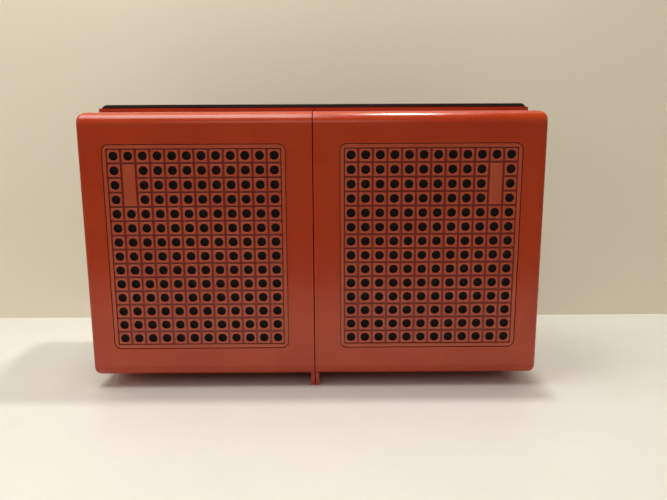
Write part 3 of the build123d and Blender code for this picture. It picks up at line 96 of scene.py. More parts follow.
# %% Camera
FOCAL_PIXELS = 624.4
PHOTO_WIDTH = 667
CAMERA_SPOT = (0.0174, -0.7004, 0.2647)
DOWN_DEGREES, LEFT_DEGREES, ROLL_DEGREES = 10.52, -0.26, -0.28

lens = bpy.data.cameras.new("photo_view")
lens.sensor_width = 36.0
lens.lens = FOCAL_PIXELS / PHOTO_WIDTH * lens.sensor_width
camera = bpy.data.objects.new("photo_view", lens)
bpy.context.scene.collection.objects.link(camera)
bpy.context.scene.camera = camera
print("lens", round(lens.lens, 2), "mm")

# %% Turn the camera
pitch, yaw, roll = (math.radians(angle) for angle in (DOWN_DEGREES, LEFT_DEGREES, ROLL_DEGREES))
level_right = Vector((math.cos(yaw), math.sin(yaw), 0))
level_ahead = Vector((-math.sin(yaw), math.cos(yaw), 0))
ahead = math.cos(pitch) * level_ahead - math.sin(pitch) * Vector((0, 0, 1))
upright = math.sin(pitch) * level_ahead + math.cos(pitch) * Vector((0, 0, 1))
right = math.cos(roll) * level_right + math.sin(roll) * upright
upward = math.cos(roll) * upright - math.sin(roll) * level_right
turn = Matrix((right, upward, -ahead)).transposed().to_4x4()
camera.matrix_world = Matrix.Translation(CAMERA_SPOT) @ turn
print("the camera looks along", tuple(round(v, 3) for v in ahead))

# %% [markdown]
# ## One way to add a shader node
# Every material below is a small tree of nodes, which could also be drawn by hand in the shader
# editor. Here one function adds any kind of node: its settings are given by name, and each input
# gets a plain value, or the node that feeds it. So a finish reads from its pattern down to the
# shader's inputs, and its sizes can be worked out from millimetres.

# %% Add a node
def result(source):
    """The socket itself, or of a node the one output that its settings leave in use."""
    if isinstance(source, bpy.types.NodeSocket):
        return source
    return next(output for output in source.outputs if output.enabled)


def add(tree, kind, inputs, **settings):
    """A node with its settings; each input gets a value, or a link from a node or a socket."""
    made = tree.nodes.new(kind)
    for name, value in settings.items():
        setattr(made, name, value)
    for name, value in inputs.items():
        if isinstance(value, (bpy.types.Node, bpy.types.NodeSocket)):
            tree.links.new(result(value), made.inputs[name])
        else:
            made.inputs[name].default_value = value
    return made


def feed(tree, target, **patterns):
    """Links each pattern to the target's input of the same name."""
    for name, pattern in patterns.items():
        tree.links.new(result(pattern), target.inputs[name.replace("_", " ")])


print("made add() for any node and feed() for what goes into the main shader")


# %% Start a finish
def new_finish(name, colour, roughness, **values):
    """A material with its main shader; values go on the shader's own sockets."""
    material = bpy.data.materials.new(name)
    material.use_nodes = True
    tree = material.node_tree
    tree.nodes.clear()
    inputs = {"Base Color": rgb(colour), "Roughness": roughness}
    inputs.update({key.replace("_", " "): value for key, value in values.items()})
    shader = add(tree, "ShaderNodeBsdfPrincipled", inputs)
    add(tree, "ShaderNodeOutputMaterial", {"Surface": shader})
    return material, tree, shader


print("made new_finish(), which starts from one plain shader")

# %% Names for what most finishes use
NOISE = "ShaderNodeTexNoise"
WAVE = "ShaderNodeTexWave"
# Map Range stretches a pattern's range, Mix blends two colours by it, and Bump turns it into relief.
RANGE = "ShaderNodeMapRange"
MIX = "ShaderNodeMix"
BUMP = "ShaderNodeBump"
# A mix node repeats its inputs for each kind of data; these are the places of the colour ones.
FACTOR, FIRST, SECOND = 0, 6, 7
# Noise seldom leaves this range, so its contrast is stretched from here.
MIDDLE = {"From Min": 0.35, "From Max": 0.65}
print("a relief of 0.05 mm is a bump with a distance of", round(0.05 * MM, 6))


# %% Grain of a real size
def grain(tree, size_mm, detail=3.0, stretch=(1, 1, 1), roughness=0.5):
    """Noise in the object's own space whose grains are about size_mm across."""
    space = add(tree, "ShaderNodeTexCoord", {})
    stretched = add(tree, "ShaderNodeMapping", {"Vector": space.outputs["Object"], "Scale": stretch})
    return add(tree, NOISE, {"Vector": stretched, "Scale": 1 / (size_mm * MM), "Detail": detail,
                             "Roughness": roughness})


print("a grain of 2 mm is noise at a scale of", 1 / (2 * MM))

# %% [markdown]
# ## The table and the wall
# The case stands on an off-white table in front of a beige wall. One big sheet could serve as
# floor and backdrop, but the photograph shows a plain edge where the table ends, so there are
# two. The table ends half a metre in front of the case, so that the glossy face mirrors it only
# near its foot. Both sheets show from their front side only, so a view from behind or below still
# sees the record player.

# %% Table and wall
WALL_DEPTH = 265.0
TABLE_FRONT = -450.0
STAGE_SIDE = 1500.0
WALL_FOOT = -300.0


def flat_sheet(name, corners):
    mesh = bpy.data.meshes.new(name)
    mesh.from_pydata([place(*corner) for corner in corners], [], [(0, 1, 2, 3)])
    sheet = bpy.data.objects.new(name, mesh)
    bpy.context.scene.collection.objects.link(sheet)
    return sheet


table = flat_sheet("table_top", [(-STAGE_SIDE, TABLE_FRONT, 0), (STAGE_SIDE, TABLE_FRONT, 0),
                                 (STAGE_SIDE, WALL_DEPTH, 0), (-STAGE_SIDE, WALL_DEPTH, 0)])
wall = flat_sheet("room_wall", [(-STAGE_SIDE, WALL_DEPTH, WALL_FOOT),
                                (STAGE_SIDE, WALL_DEPTH, WALL_FOOT),
                                (STAGE_SIDE, WALL_DEPTH, STAGE_SIDE),
                                (-STAGE_SIDE, WALL_DEPTH, STAGE_SIDE)])
print("table and wall in place")


# %% Seen from one side only
def one_sided(tree, shader):
    """Seen from behind, the surface lets everything through."""
    facing = add(tree, "ShaderNodeNewGeometry", {})
    clear = add(tree, "ShaderNodeBsdfTransparent", {})
    mixed = add(tree, "ShaderNodeMixShader", {0: facing.outputs["Backfacing"], 1: shader, 2: clear})
    out = next(node for node in tree.nodes if node.type == "OUTPUT_MATERIAL")
    feed(tree, out, Surface=mixed)


print("made one_sided() for the table and the wall")

# %% Table finish
# Laminate: pressed with a satin face, which mirrors the case only as a faint blur.
laminate, tree, shader = new_finish("off_white_laminate", "#ECEAE5", 0.38, IOR=1.45)
mottle = grain(tree, 60.0)
tint = add(tree, MIX, {FACTOR: mottle, FIRST: rgb("#E9E7E1"), SECOND: rgb("#EFEDE8")},
           data_type="RGBA")
feed(tree, shader, Base_Color=tint)
one_sided(tree, shader)
table.data.materials.append(laminate)
print(laminate.name)

# %% Wall finish
# Emulsion: matt wall paint laid on with a roller, with no gloss at all.
emulsion, tree, shader = new_finish("beige_emulsion", "#F0E7D4", 0.9, IOR=1.45)
mottle = grain(tree, 300.0)
tint = add(tree, MIX, {FACTOR: mottle, FIRST: rgb("#F2E8D3"), SECOND: rgb("#F7EEDC")},
           data_type="RGBA")
feed(tree, shader, Base_Color=tint)
one_sided(tree, shader)
wall.data.materials.append(emulsion)
print(emulsion.name)

# %% [markdown]
# ## The light
# The photograph is lit from above. A small spot a little behind the case throws the shadow that
# falls forwards and to the left, and its glare lies on the right box's top rounding. A large soft
# panel over the left makes the broad glare there. Light that comes back from the table brightens
# the foot of the face, so the lamps in front stay weak. One lamp and a bright room would be
# simpler, but then the face loses its shading and turns pale all over.

# %% The room
world = bpy.data.worlds.new("soft_room")
bpy.context.scene.world = world
world.use_nodes = True
world.node_tree.nodes.clear()
room = add(world.node_tree, "ShaderNodeBackground", {"Color": rgb("#F4EEE4"), "Strength": 0.2})
add(world.node_tree, "ShaderNodeOutputWorld", {"Surface": room})
bpy.context.scene.view_settings.view_transform = "Standard"
print("room light of strength", room.inputs["Strength"].default_value)

# %% Lamps
LAMP_WHITE = "#FFFCF5"
DAYLIGHT = "#FFFBF4"


def soft_lamp(name, spot, aim, size, power, colour):
    """Rectangular lamp at a spot, aimed at a point; all in metres, power in watts."""
    data = bpy.data.lights.new(name, "AREA")
    data.shape = "RECTANGLE"
    data.size, data.size_y = size
    data.energy = power
    data.color = rgb(colour)[:3]
    lamp = bpy.data.objects.new(name, data)
    bpy.context.scene.collection.objects.link(lamp)
    lamp.location = spot
    lamp.rotation_euler = (Vector(aim) - Vector(spot)).to_track_quat("-Z", "Y").to_euler()


soft_lamp("ceiling_spot", (0.2, 0.05, 1.25), (0.2, 0.05, 0), (0.07, 0.07), 6.0, LAMP_WHITE)
soft_lamp("ceiling_panel", (-0.32, -0.2, 1.15), (-0.32, -0.2, 0), (0.6, 0.6), 7.0, LAMP_WHITE)
soft_lamp("left_window", (-1.3, -0.9, 0.9), (0, 0, 0.15), (0.7, 0.7), 2.0, DAYLIGHT)
soft_lamp("right_window", (1.2, -0.7, 1.0), (0, 0, 0.15), (0.6, 0.6), 1.4, DAYLIGHT)
soft_lamp("room_light", (-0.2, -2.2, 1.4), (0, 0, 0.2), (1.0, 0.6), 2.4, DAYLIGHT)

# %% [markdown]
# ## Orange-red ABS
# The boxes are injection moulded in ABS, coloured right through. Polished steel moulds give it a
# satin gloss with a faint orange peel, and years of handling leave pale hairline scratches. A
# flat glossy colour would look like wet paint, so colour and gloss vary a little over the face.

# %% Box finish
def moulded_orange(name, dark, light, roughness):
    """ABS from a polished mould: clear soft reflections over a deep even colour."""
    material, tree, shader = new_finish(name, dark, roughness, IOR=1.54)
    clouds = grain(tree, 45.0, detail=4.0)
    cloudy = add(tree, RANGE, {"Value": clouds, **MIDDLE})
    colour = add(tree, MIX, {FACTOR: cloudy, FIRST: rgb(dark), SECOND: rgb(light)},
                 data_type="RGBA")
    # Hairlines: a noise pulled out forty times sideways, kept only at its highest values.
    scratch = grain(tree, 9.0, detail=1.0, stretch=(0.35, 1, 14))
    lines = add(tree, RANGE, {"Value": scratch, "From Min": 0.75, "From Max": 0.8, "To Max": 0.35})
    colour = add(tree, MIX, {FACTOR: lines, FIRST: colour, SECOND: rgb("#C4674A")},
                 data_type="RGBA")
    rough = grain(tree, 12.0, detail=5.0)
    gloss = add(tree, RANGE, {"Value": rough, **MIDDLE, "To Min": roughness - 0.02,
                              "To Max": roughness + 0.03})
    peel = grain(tree, 1.8, detail=3.0)
    bump = add(tree, BUMP, {"Height": peel, "Distance": 0.025 * MM})
    feed(tree, shader, Base_Color=colour, Roughness=gloss, Normal=bump)
    return material


shell_abs = moulded_orange("orange_abs_moulded", "#B43508", "#BA3C0C", 0.2)
print(shell_abs.name)

# %% [markdown]
# ## The grille inserts
# Each insert is one moulding: a rim, a sunken field and 14 rows of 12 square pads with a round
# hole. Three pads of the second column from the outside are one plain plate. A boolean of 165
# holes would leave ragged faces, so each pad is woven from rings of points instead: a square ring
# at the groove floor, rounded squares up over the pad's edge, and circles down into its hole.
# The holes widen towards the back, because the pins of the mould draw out that way.
# Neighbouring cells share the points of their outer ring, so the whole insert is one closed skin.

# %% Sizes of the inserts
CASE_MIDDLE = 150.0
INSERT_X = 117.95
CELL_PITCH = 14.5
COLUMNS = 12
ROWS = 14
PAD_HALF = 6.25
PAD_CORNER = 1.2
PAD_TOP = 0.6
PAD_EDGE = 0.5
PAD_FOOT = 0.12
HOLE_RADIUS = 4.55
HOLE_BACK_RADIUS = 5.6
HOLE_EDGE = 0.2
GROOVE_FLOOR = 2.0
HOLE_NECK = GROOVE_FLOOR - 0.4
INSERT_BACK = 4.5
PLATE_COLUMN = 10
PLATE_ROWS = (1, 2, 3)
print("holes in one insert:", COLUMNS * ROWS - len(PLATE_ROWS))

# %% Rings with the same number of points
SIDE_STEPS = (1, 0.82, 0.6, 0.3, 0, -0.3, -0.6, -0.82)


def side_run(cells):
    """Steps along one side that is some cells long, from +1 down to just above -1."""
    return [(cells - 1 - 2 * cell + step) / cells for cell in range(cells) for step in SIDE_STEPS]


def unit_ring(columns, rows):
    """Points round a square of half side 1, in the same places as the cells along it."""
    across, along = side_run(columns), side_run(rows)
    top = [(-step, 1) for step in across]
    outer = [(1, step) for step in along]
    bottom = [(step, -1) for step in across]
    inner = [(-1, -step) for step in along]
    return top + outer + bottom + inner


print("points round one pad:", len(unit_ring(1, 1)))


# %% Outlines
def rounded_ring(unit, half_width, half_height, radius):
    """The unit ring stretched to a rectangle with rounded corners."""
    ring = []
    for u, v in unit:
        x, z = u * half_width, v * half_height
        over_x = abs(x) - (half_width - radius)
        over_z = abs(z) - (half_height - radius)
        reach = math.hypot(over_x, over_z)
        if radius and over_x > 0 and over_z > 0 and reach > radius:
            x = math.copysign(half_width - radius + over_x * radius / reach, x)
            z = math.copysign(half_height - radius + over_z * radius / reach, z)
        ring.append((x, z))
    return ring


def round_ring(unit, radius):
    """The unit ring drawn on to a circle."""
    return [(u * radius / math.hypot(u, v), v * radius / math.hypot(u, v)) for u, v in unit]


corner_x, corner_z = round_ring(unit_ring(1, 1), HOLE_RADIUS)[0]
print("first point of a hole:", round(corner_x, 2), round(corner_z, 2))


# %% Skin over rings
def skin(bm, loops):
    """Faces between each loop of points and the next."""
    for first, second in zip(loops, loops[1:]):
        for i in range(len(first)):
            j = (i + 1) % len(first)
            bm.faces.new((first[i], first[j], second[j], second[i]))


def lay_rings(bm, rings, middle_x, middle_z, close=False):
    """Skins a stack of (points, depth) rings; close fills the last ring with one face."""
    loops = []
    for points, depth in rings:
        loops.append([bm.verts.new(place(middle_x + x, depth, middle_z + z)) for x, z in points])
    skin(bm, loops)
    if close:
        bm.faces.new(loops[-1])


print("made skin() and lay_rings()")


# %% Turn a bmesh into a piece
def make_piece(name, bm, materials, body, nodes=(), sharp=25.0):
    """Merges doubled points, faces all normals outwards and marks edges over the sharp angle."""
    bmesh.ops.remove_doubles(bm, verts=bm.verts, dist=1e-6)
    bmesh.ops.recalc_face_normals(bm, faces=bm.faces)
    for face in bm.faces:
        face.smooth = True
    for edge in bm.edges:
        if len(edge.link_faces) == 2 and edge.calc_face_angle(0) > math.radians(sharp):
            edge.smooth = False
    mesh = bpy.data.meshes.new(name)
    bm.to_mesh(mesh)
    bm.free()
    for material in materials:
        mesh.materials.append(material)
    piece = bpy.data.objects.new(name, mesh)
    bpy.context.scene.collection.objects.link(piece)
    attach(piece, body)
    if nodes:
        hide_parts(*nodes)
    print(name, len(mesh.vertices), "points")
    return piece


# %% [markdown]
# The pads' colour is the box's own, a little paler where hands and cloths rub them, and the
# grooves between them and the pads' walls are painted a deep red: painted shade in the recesses,
# darkest where grooves cross.
# That could be painted from the pads' spacing in the shader, but a value stored on the points of
# each cell's outer ring is simpler.

# %% Grille finish
grille_abs = moulded_orange("orange_abs_grille", "#B44828", "#BA5030", 0.3)
tree = grille_abs.node_tree
shader = next(n for n in tree.nodes if n.type == "BSDF_PRINCIPLED")
# Painted shade: a value stored on the points darkens the grooves and the pads' walls to a deep red,
# most where grooves cross.
dust = add(tree, "ShaderNodeAttribute", {}, attribute_name="dust")
clean = shader.inputs["Base Color"].links[0].from_socket
colour = add(tree, MIX, {FACTOR: dust.outputs["Fac"], FIRST: clean, SECOND: rgb("#7E150B")},
             data_type="RGBA")
feed(tree, shader, Base_Color=colour)
print(grille_abs.name)

# %% Pads and holes
# A quarter round in three steps: how far in, and how far down, as shares of its radius.
QUARTER = ((0.0, 1.0), (0.134, 0.5), (0.5, 0.134), (1.0, 0.0))


def pad_rings(unit, half_width, half_height, cell_width, cell_height):
    """Rings from the groove floor up to the flat top of a pad."""
    foot = rounded_ring(unit, half_width + PAD_FOOT, half_height + PAD_FOOT, PAD_CORNER)
    rings = [(rounded_ring(unit, cell_width, cell_height, 0), GROOVE_FLOOR), (foot, GROOVE_FLOOR)]
    for inwards, down in QUARTER:
        out = -PAD_EDGE * inwards
        ring = rounded_ring(unit, half_width + out, half_height + out, PAD_CORNER)
        rings.append((ring, PAD_TOP + PAD_EDGE * down))
    return rings


def hole_rings(unit, half_cell):
    """Rings from the pad's top down through its hole and out to the insert's back."""
    rings = []
    for inwards, down in reversed(QUARTER):
        rings.append((round_ring(unit, HOLE_RADIUS + HOLE_EDGE * inwards), PAD_TOP + HOLE_EDGE * down))
    rings.append((round_ring(unit, HOLE_RADIUS), HOLE_NECK))
    rings.append((round_ring(unit, HOLE_BACK_RADIUS), INSERT_BACK))
    rings.append((rounded_ring(unit, half_cell, half_cell, 0), INSERT_BACK))
    return rings


print("rings of one cell:", len(pad_rings([], 1, 1, 1, 1)) + len(hole_rings([], 1)))


# %% Cells of an insert
def cell_middle(side, column, row):
    """Middle of a cell; side is 1 for the right box and -1 for the left."""
    x = side * (INSERT_X + CELL_PITCH * (column - (COLUMNS - 1) / 2))
    return x, CASE_MIDDLE + CELL_PITCH * ((ROWS - 1) / 2 - row)


def add_cells(bm, side):
    half_cell = CELL_PITCH / 2
    cell = unit_ring(1, 1)
    for column in range(COLUMNS):
        for row in range(ROWS):
            if column == PLATE_COLUMN and row in PLATE_ROWS:
                continue
            rings = pad_rings(cell, PAD_HALF, PAD_HALF, half_cell, half_cell)
            rings += hole_rings(cell, half_cell)
            lay_rings(bm, rings, *cell_middle(side, column, row))


def add_plate(bm, side):
    """The plain plate is one long pad, closed in front and at its back."""
    middle = cell_middle(side, PLATE_COLUMN, PLATE_ROWS[1])
    half_cell = CELL_PITCH / 2
    tall = half_cell * len(PLATE_ROWS)
    plate = unit_ring(1, len(PLATE_ROWS))
    rings = pad_rings(plate, PAD_HALF, tall - half_cell + PAD_HALF, half_cell, tall)
    lay_rings(bm, rings, *middle, close=True)
    lay_rings(bm, [(rounded_ring(plate, half_cell, tall, 0), INSERT_BACK)], *middle, close=True)


print("plate over rows", PLATE_ROWS)

# %% Rim of an insert
FIELD_HALF = (CELL_PITCH * COLUMNS / 2, CELL_PITCH * ROWS / 2)
RIM = 3.5
RIM_FRONT = 0.2
RIM_RADIUS = 6.5
RIM_EDGE = 0.3
FLANGE = 4.3
FLANGE_FRONT = 3.0


def add_rim(bm, side):
    """Rings up out of the field, over the rim, out over the flange and round to the back."""
    field = unit_ring(COLUMNS, ROWS)
    width, height = FIELD_HALF
    rings = [(rounded_ring(field, width, height, 0), GROOVE_FLOOR)]
    for inwards, down in QUARTER:
        out = RIM_EDGE * inwards
        rings.append((rounded_ring(field, width + out, height + out, 0), RIM_FRONT + RIM_EDGE * down))
    for inwards, down in reversed(QUARTER):
        out = RIM - RIM_EDGE * inwards
        rings.append((rounded_ring(field, width + out, height + out, RIM_RADIUS),
                      RIM_FRONT + RIM_EDGE * down))
    rings.append((rounded_ring(field, width + RIM, height + RIM, RIM_RADIUS), FLANGE_FRONT))
    out = RIM + FLANGE
    for depth in (FLANGE_FRONT, INSERT_BACK):
        rings.append((rounded_ring(field, width + out, height + out, RIM_RADIUS + RIM), depth))
    rings.append((rounded_ring(field, width, height, 0), INSERT_BACK))
    lay_rings(bm, rings, side * INSERT_X, CASE_MIDDLE)


print("insert", 2 * (FIELD_HALF[0] + RIM), "by", 2 * (FIELD_HALF[1] + RIM), "mm")

# %% Painted shade in the grooves
FLOOR_SHADE = 0.75
WALL_SHADE = 0.5
# The painted shade is gone a ninth of a cell's width away from the middle of the groove.
SHADE_FADE = 9


def settle_dust(mesh, side):
    """Painted shade value of each point: full where grooves cross, less along a floor, least up a
    wall.
    """
    layer = mesh.attributes.new("dust", "FLOAT", "POINT")
    values = []
    for vertex in mesh.vertices:
        x = (vertex.co.x / MM - side * INSERT_X) / CELL_PITCH
        z = (vertex.co.z / MM - CASE_MIDDLE) / CELL_PITCH
        depth = vertex.co.y / MM + FRONT_DEPTH
        near = [1 - min(1, abs(v - round(v)) * SHADE_FADE) for v in (x, z)]
        on_floor = abs(depth - GROOVE_FLOOR) < 0.01
        on_wall = depth > PAD_TOP + 0.2 and max(near) > 0.3
        crossing = (1 - FLOOR_SHADE) * near[0] * near[1]
        # Painted shade: the floor and the crossings of the grooves get the most, the pads' walls less.
        values.append(FLOOR_SHADE + crossing if on_floor else WALL_SHADE * on_wall)
    layer.data.foreach_set("value", values)
    print("points with dust:", sum(value > 0 for value in values))


# %% Make both inserts
for side, name in ((1, "right"), (-1, "left")):
    bm = bmesh.new()
    add_cells(bm, side)
    add_plate(bm, side)
    add_rim(bm, side)
    piece = make_piece(name + "_grille_insert", bm, [grille_abs], name + "_speaker",
                       [name + "_speaker_grille"])
    settle_dust(piece.data, side)

# %% [markdown]
# ## Acoustic cloth
# A thin black open-weave cloth is stretched behind each insert, so the holes look dark but not
# empty. A cloth simulation could stretch it, but it lies flat, so a grid with a slight unevenness
# is enough, and its threads come from the shader. They are drawn 0.9 mm apart, a little coarser
# than real, so that they show.

# %% Cloth finish
THREAD_MM = 0.9
# Between two crests of the wave texture at a scale of 1, in metres.
WAVE_LENGTH = 0.314

# Woven thread: dull all over, with a faint sheen from its fibres when seen from the side.
cloth_black, tree, shader = new_finish("acoustic_cloth_woven", "#141211", 0.85, IOR=1.5,
                                       Sheen_Weight=0.25, Sheen_Roughness=0.5)
space = add(tree, "ShaderNodeTexCoord", {})
waves = []
for direction in ("X", "Z"):
    wave = add(tree, WAVE, {"Vector": space.outputs["Object"],
                            "Scale": WAVE_LENGTH / (THREAD_MM * MM)}, bands_direction=direction)
    waves.append(wave.outputs["Fac"])
weave = add(tree, "ShaderNodeMath", {0: waves[0], 1: waves[1]}, operation="MAXIMUM")
colour = add(tree, MIX, {FACTOR: weave, FIRST: rgb("#070606"), SECOND: rgb("#1E1B19")},
             data_type="RGBA")
bump = add(tree, BUMP, {"Height": weave, "Distance": 0.2 * MM})
feed(tree, shader, Base_Color=colour, Normal=bump)
print(cloth_black.name, "threads", THREAD_MM, "mm apart")

# %% Stretched cloth
CLOTH_ACROSS = 36
CLOTH_ALONG = 42
# How far the cloth is uneven, and how fast that changes from point to point.
CLOTH_WAVE = 0.1
WAVE_ACROSS = 1.3
WAVE_ALONG = 1.1


def stretched_cloth(name):
    low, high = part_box(name + "_grille_cloth")
    bm = bmesh.new()
    rows = []
    for j in range(CLOTH_ALONG + 1):
        row = []
        for i in range(CLOTH_ACROSS + 1):
            x = low.x + (high.x - low.x) * i / CLOTH_ACROSS
            z = low.z + (high.z - low.z) * j / CLOTH_ALONG
            sag = CLOTH_WAVE * MM * math.sin(i * WAVE_ACROSS) * math.sin(j * WAVE_ALONG)
            row.append(bm.verts.new((x, (low.y + high.y) / 2 + sag, z)))
        rows.append(row)
    for lower, upper in zip(rows, rows[1:]):
        for i in range(CLOTH_ACROSS):
            bm.faces.new((lower[i], lower[i + 1], upper[i + 1], upper[i]))
    cloth = make_piece(name + "_speaker_cloth", bm, [cloth_black], name + "_speaker",
                       [name + "_grille_cloth"], sharp=60)


for name in ("right", "left"):
    stretched_cloth(name)

# %% [markdown]
# ## Finishes for the solids that stay
# Most solids have their real shape already, so each one only needs its real finish. Flat colours
# would do for a drawing, but then plastic, rubber and board all look alike. A grain of the right
# size and the right gloss tell them apart. Each finish is named for its material and how it was
# made, and is used wherever that material is.

# %% Black and dark mouldings
def grained_abs(name, colour, roughness, grain_mm=0.7):
    """ABS from a spark-eroded mould: a fine even grain that takes the gloss off."""
    material, tree, shader = new_finish(name, colour, roughness, IOR=1.54)
    bumps = grain(tree, grain_mm, detail=2.0)
    bump = add(tree, BUMP, {"Height": bumps, "Distance": 0.06 * MM})
    rub = grain(tree, 30.0, detail=5.0)
    gloss = add(tree, RANGE, {"Value": rub, **MIDDLE, "To Min": roughness - 0.08,
                              "To Max": roughness + 0.08})
    feed(tree, shader, Roughness=gloss, Normal=bump)
    return material


FINISH = {"orange_abs": shell_abs, "acoustic_cloth": cloth_black}
FINISH["black_abs"] = grained_abs("black_abs_grained", "#171615", 0.5)
FINISH["deck_abs"] = grained_abs("charcoal_abs_grained", "#2A2928", 0.48)
# Knobs, sockets and buttons come from smoother moulds, which leave a satin gloss.
FINISH["knob_abs"] = grained_abs("black_abs_satin", "#1B1A1A", 0.34, 2.0)
FINISH["cream_plastic"] = grained_abs("cream_abs_moulded", "#D9D0B8", 0.35, 2.0)
FINISH["red_plastic"] = grained_abs("red_abs_moulded", "#A8281C", 0.32, 2.0)
print(len(FINISH), "finishes")

# %% Rubber
# Moulded rubber: dull and dusty, with a grey bloom and no clear reflections.
rubber, tree, shader = new_finish("black_rubber_moulded", "#161616", 0.78, IOR=1.52)
specks = grain(tree, 0.9, detail=3.0)
bump = add(tree, BUMP, {"Height": specks, "Distance": 0.08 * MM})
bloom = grain(tree, 25.0, detail=4.0)
patches = add(tree, RANGE, {"Value": bloom, **MIDDLE})
colour = add(tree, MIX, {FACTOR: patches, FIRST: rgb("#131313"), SECOND: rgb("#1F1E1D")},
             data_type="RGBA")
feed(tree, shader, Base_Color=colour, Normal=bump)
FINISH["rubber"] = rubber
print(rubber.name)

# %% Hardboard
# Hardboard: pressed wood fibre, smooth but flecked.
hardboard, tree, shader = new_finish("hardboard_pressed", "#5C3C24", 0.55, IOR=1.5)
fibre = grain(tree, 2.5, detail=6.0, stretch=(1, 1, 2.5), roughness=0.7)
flecks = add(tree, RANGE, {"Value": fibre, **MIDDLE})
colour = add(tree, MIX, {FACTOR: flecks, FIRST: rgb("#4A2E1A"), SECOND: rgb("#6E4A2E")},
             data_type="RGBA")
bump = add(tree, BUMP, {"Height": fibre, "Distance": 0.05 * MM})
feed(tree, shader, Base_Color=colour, Normal=bump)
FINISH["hardboard"] = hardboard
print(hardboard.name)

# %% Cone paper
# Cone paper: pressed pulp, soft dark grey with fibres.
pulp, tree, shader = new_finish("cone_paper_pressed", "#2E2C2A", 0.9, IOR=1.5)
fibre = grain(tree, 1.5, detail=6.0, roughness=0.75)
colour = add(tree, MIX, {FACTOR: fibre, FIRST: rgb("#1F1D1C"), SECOND: rgb("#413E3A")},
             data_type="RGBA")
bump = add(tree, BUMP, {"Height": fibre, "Distance": 0.1 * MM})
feed(tree, shader, Base_Color=colour, Normal=bump)
FINISH["cone_paper"] = pulp
print(pulp.name)

# %% Phenolic board
# Phenolic board: brown paper laminate with a slight gloss.
phenolic, tree, shader = new_finish("phenolic_paper_board", "#8F6233", 0.4, IOR=1.6)
layers = grain(tree, 3.0, detail=5.0, stretch=(1, 1, 6))
streaks = add(tree, RANGE, {"Value": layers, **MIDDLE})
colour = add(tree, MIX, {FACTOR: streaks, FIRST: rgb("#80552B"), SECOND: rgb("#A0713F")},
             data_type="RGBA")
feed(tree, shader, Base_Color=colour)
FINISH["phenolic_board"] = phenolic
print(phenolic.name)

# %% [markdown]
# Metals keep the shader's own index of refraction, and their colour is that of the reflection.
# What sets them apart is the direction and depth of the tool marks: a rolled sheet is brushed in
# lines, a turned part has rings round its axis, and plating has a soft cloudy sheen. Pictures of
# metal could be wrapped round each part, but a noise that is pulled out along an axis, or that
# depends only on the distance from one, needs no unwrapping.

# %% Clouded metal
def clouded(name, colour, roughness, cloud_mm=8.0):
    """Metal with no tool marks, plated or treated in a bath: a soft sheen in clouds."""
    material, tree, shader = new_finish(name, colour, roughness, Metallic=1.0)
    cloud = grain(tree, cloud_mm, detail=5.0)
    gloss = add(tree, RANGE, {"Value": cloud, **MIDDLE, "To Min": roughness - 0.06,
                              "To Max": roughness + 0.1})
    fine = grain(tree, 0.6, detail=2.0)
    bump = add(tree, BUMP, {"Height": fine, "Distance": 0.01 * MM})
    feed(tree, shader, Roughness=gloss, Normal=bump)
    return material


# Zinc on screws is dull and bluish grey; on pressings its clouds are larger.
FINISH["zinc_steel"] = clouded("zinc_plated_steel", "#B9B7AE", 0.36)
FINISH["pressed_steel"] = clouded("zinc_plated_pressing", "#A3A29C", 0.42, 15.0)
# Ground shafts mirror almost clearly, black anodising is a dark sheen, and sintered bronze is
# porous, so it shows small dull clouds.
FINISH["polished_steel"] = clouded("ground_steel", "#CFCFD0", 0.16, 20.0)
FINISH["black_aluminium"] = clouded("aluminium_black_anodised", "#232326", 0.4)
FINISH["bronze"] = clouded("bronze_sintered", "#A67A45", 0.45, 2.0)
print(len(FINISH), "finishes")


# %% Brushed metal
def brushed(name, colour, roughness, stretch):
    """Metal brushed along one axis: long thin marks, 0.5 mm apart so that they show."""
    material, tree, shader = new_finish(name, colour, roughness, Metallic=1.0, Anisotropic=0.5)
    marks = grain(tree, 0.5, detail=3.0, stretch=stretch)
    gloss = add(tree, RANGE, {"Value": marks, **MIDDLE, "To Min": roughness - 0.07,
                              "To Max": roughness + 0.1})
    bump = add(tree, BUMP, {"Height": marks, "Distance": 0.02 * MM})
    feed(tree, shader, Roughness=gloss, Normal=bump)
    return material


# The panel is brushed across before it is anodised; the arm's tube is drawn, so its marks run up it.
FINISH["anodised_aluminium"] = brushed("aluminium_brushed_anodised", "#C4C5C7", 0.3, (0.04, 1, 1))
drawn_aluminium = brushed("aluminium_drawn_tube", "#CFD0D2", 0.24, (1, 1, 0.02))
print(len(FINISH), "finishes")

# %% Turned metal
PLATTER_MIDDLE = (-92, 150)


def turned_metal(name, colour, roughness, middle, ring_mm=0.8):
    """Metal turned on a lathe: fine rings round the middle (x, z) spread the glare into two fans."""
    material, tree, shader = new_finish(name, colour, roughness, Metallic=1.0, Anisotropic=0.4)
    space = add(tree, "ShaderNodeTexCoord", {})
    axis = place(middle[0], FRONT_DEPTH, middle[1])
    vector_math = "ShaderNodeVectorMath"
    centred = add(tree, vector_math, {0: space.outputs["Object"], 1: axis}, operation="SUBTRACT")
    flat = add(tree, vector_math, {0: centred, 1: (1, 0, 1)}, operation="MULTIPLY")
    radius = add(tree, vector_math, {0: flat}, operation="LENGTH")
    rings = add(tree, NOISE, {"W": radius, "Scale": 1 / (ring_mm * MM), "Detail": 3.0},
                noise_dimensions="1D")
    gloss = add(tree, RANGE, {"Value": rings, **MIDDLE, "To Min": roughness - 0.06,
                              "To Max": roughness + 0.12})
    bump = add(tree, BUMP, {"Height": rings, "Distance": 0.02 * MM})
    feed(tree, shader, Roughness=gloss, Normal=bump)
    return material


FINISH["cast_aluminium"] = turned_metal("aluminium_turned", "#BFC0C1", 0.28, PLATTER_MIDDLE)
print(len(FINISH), "finishes")

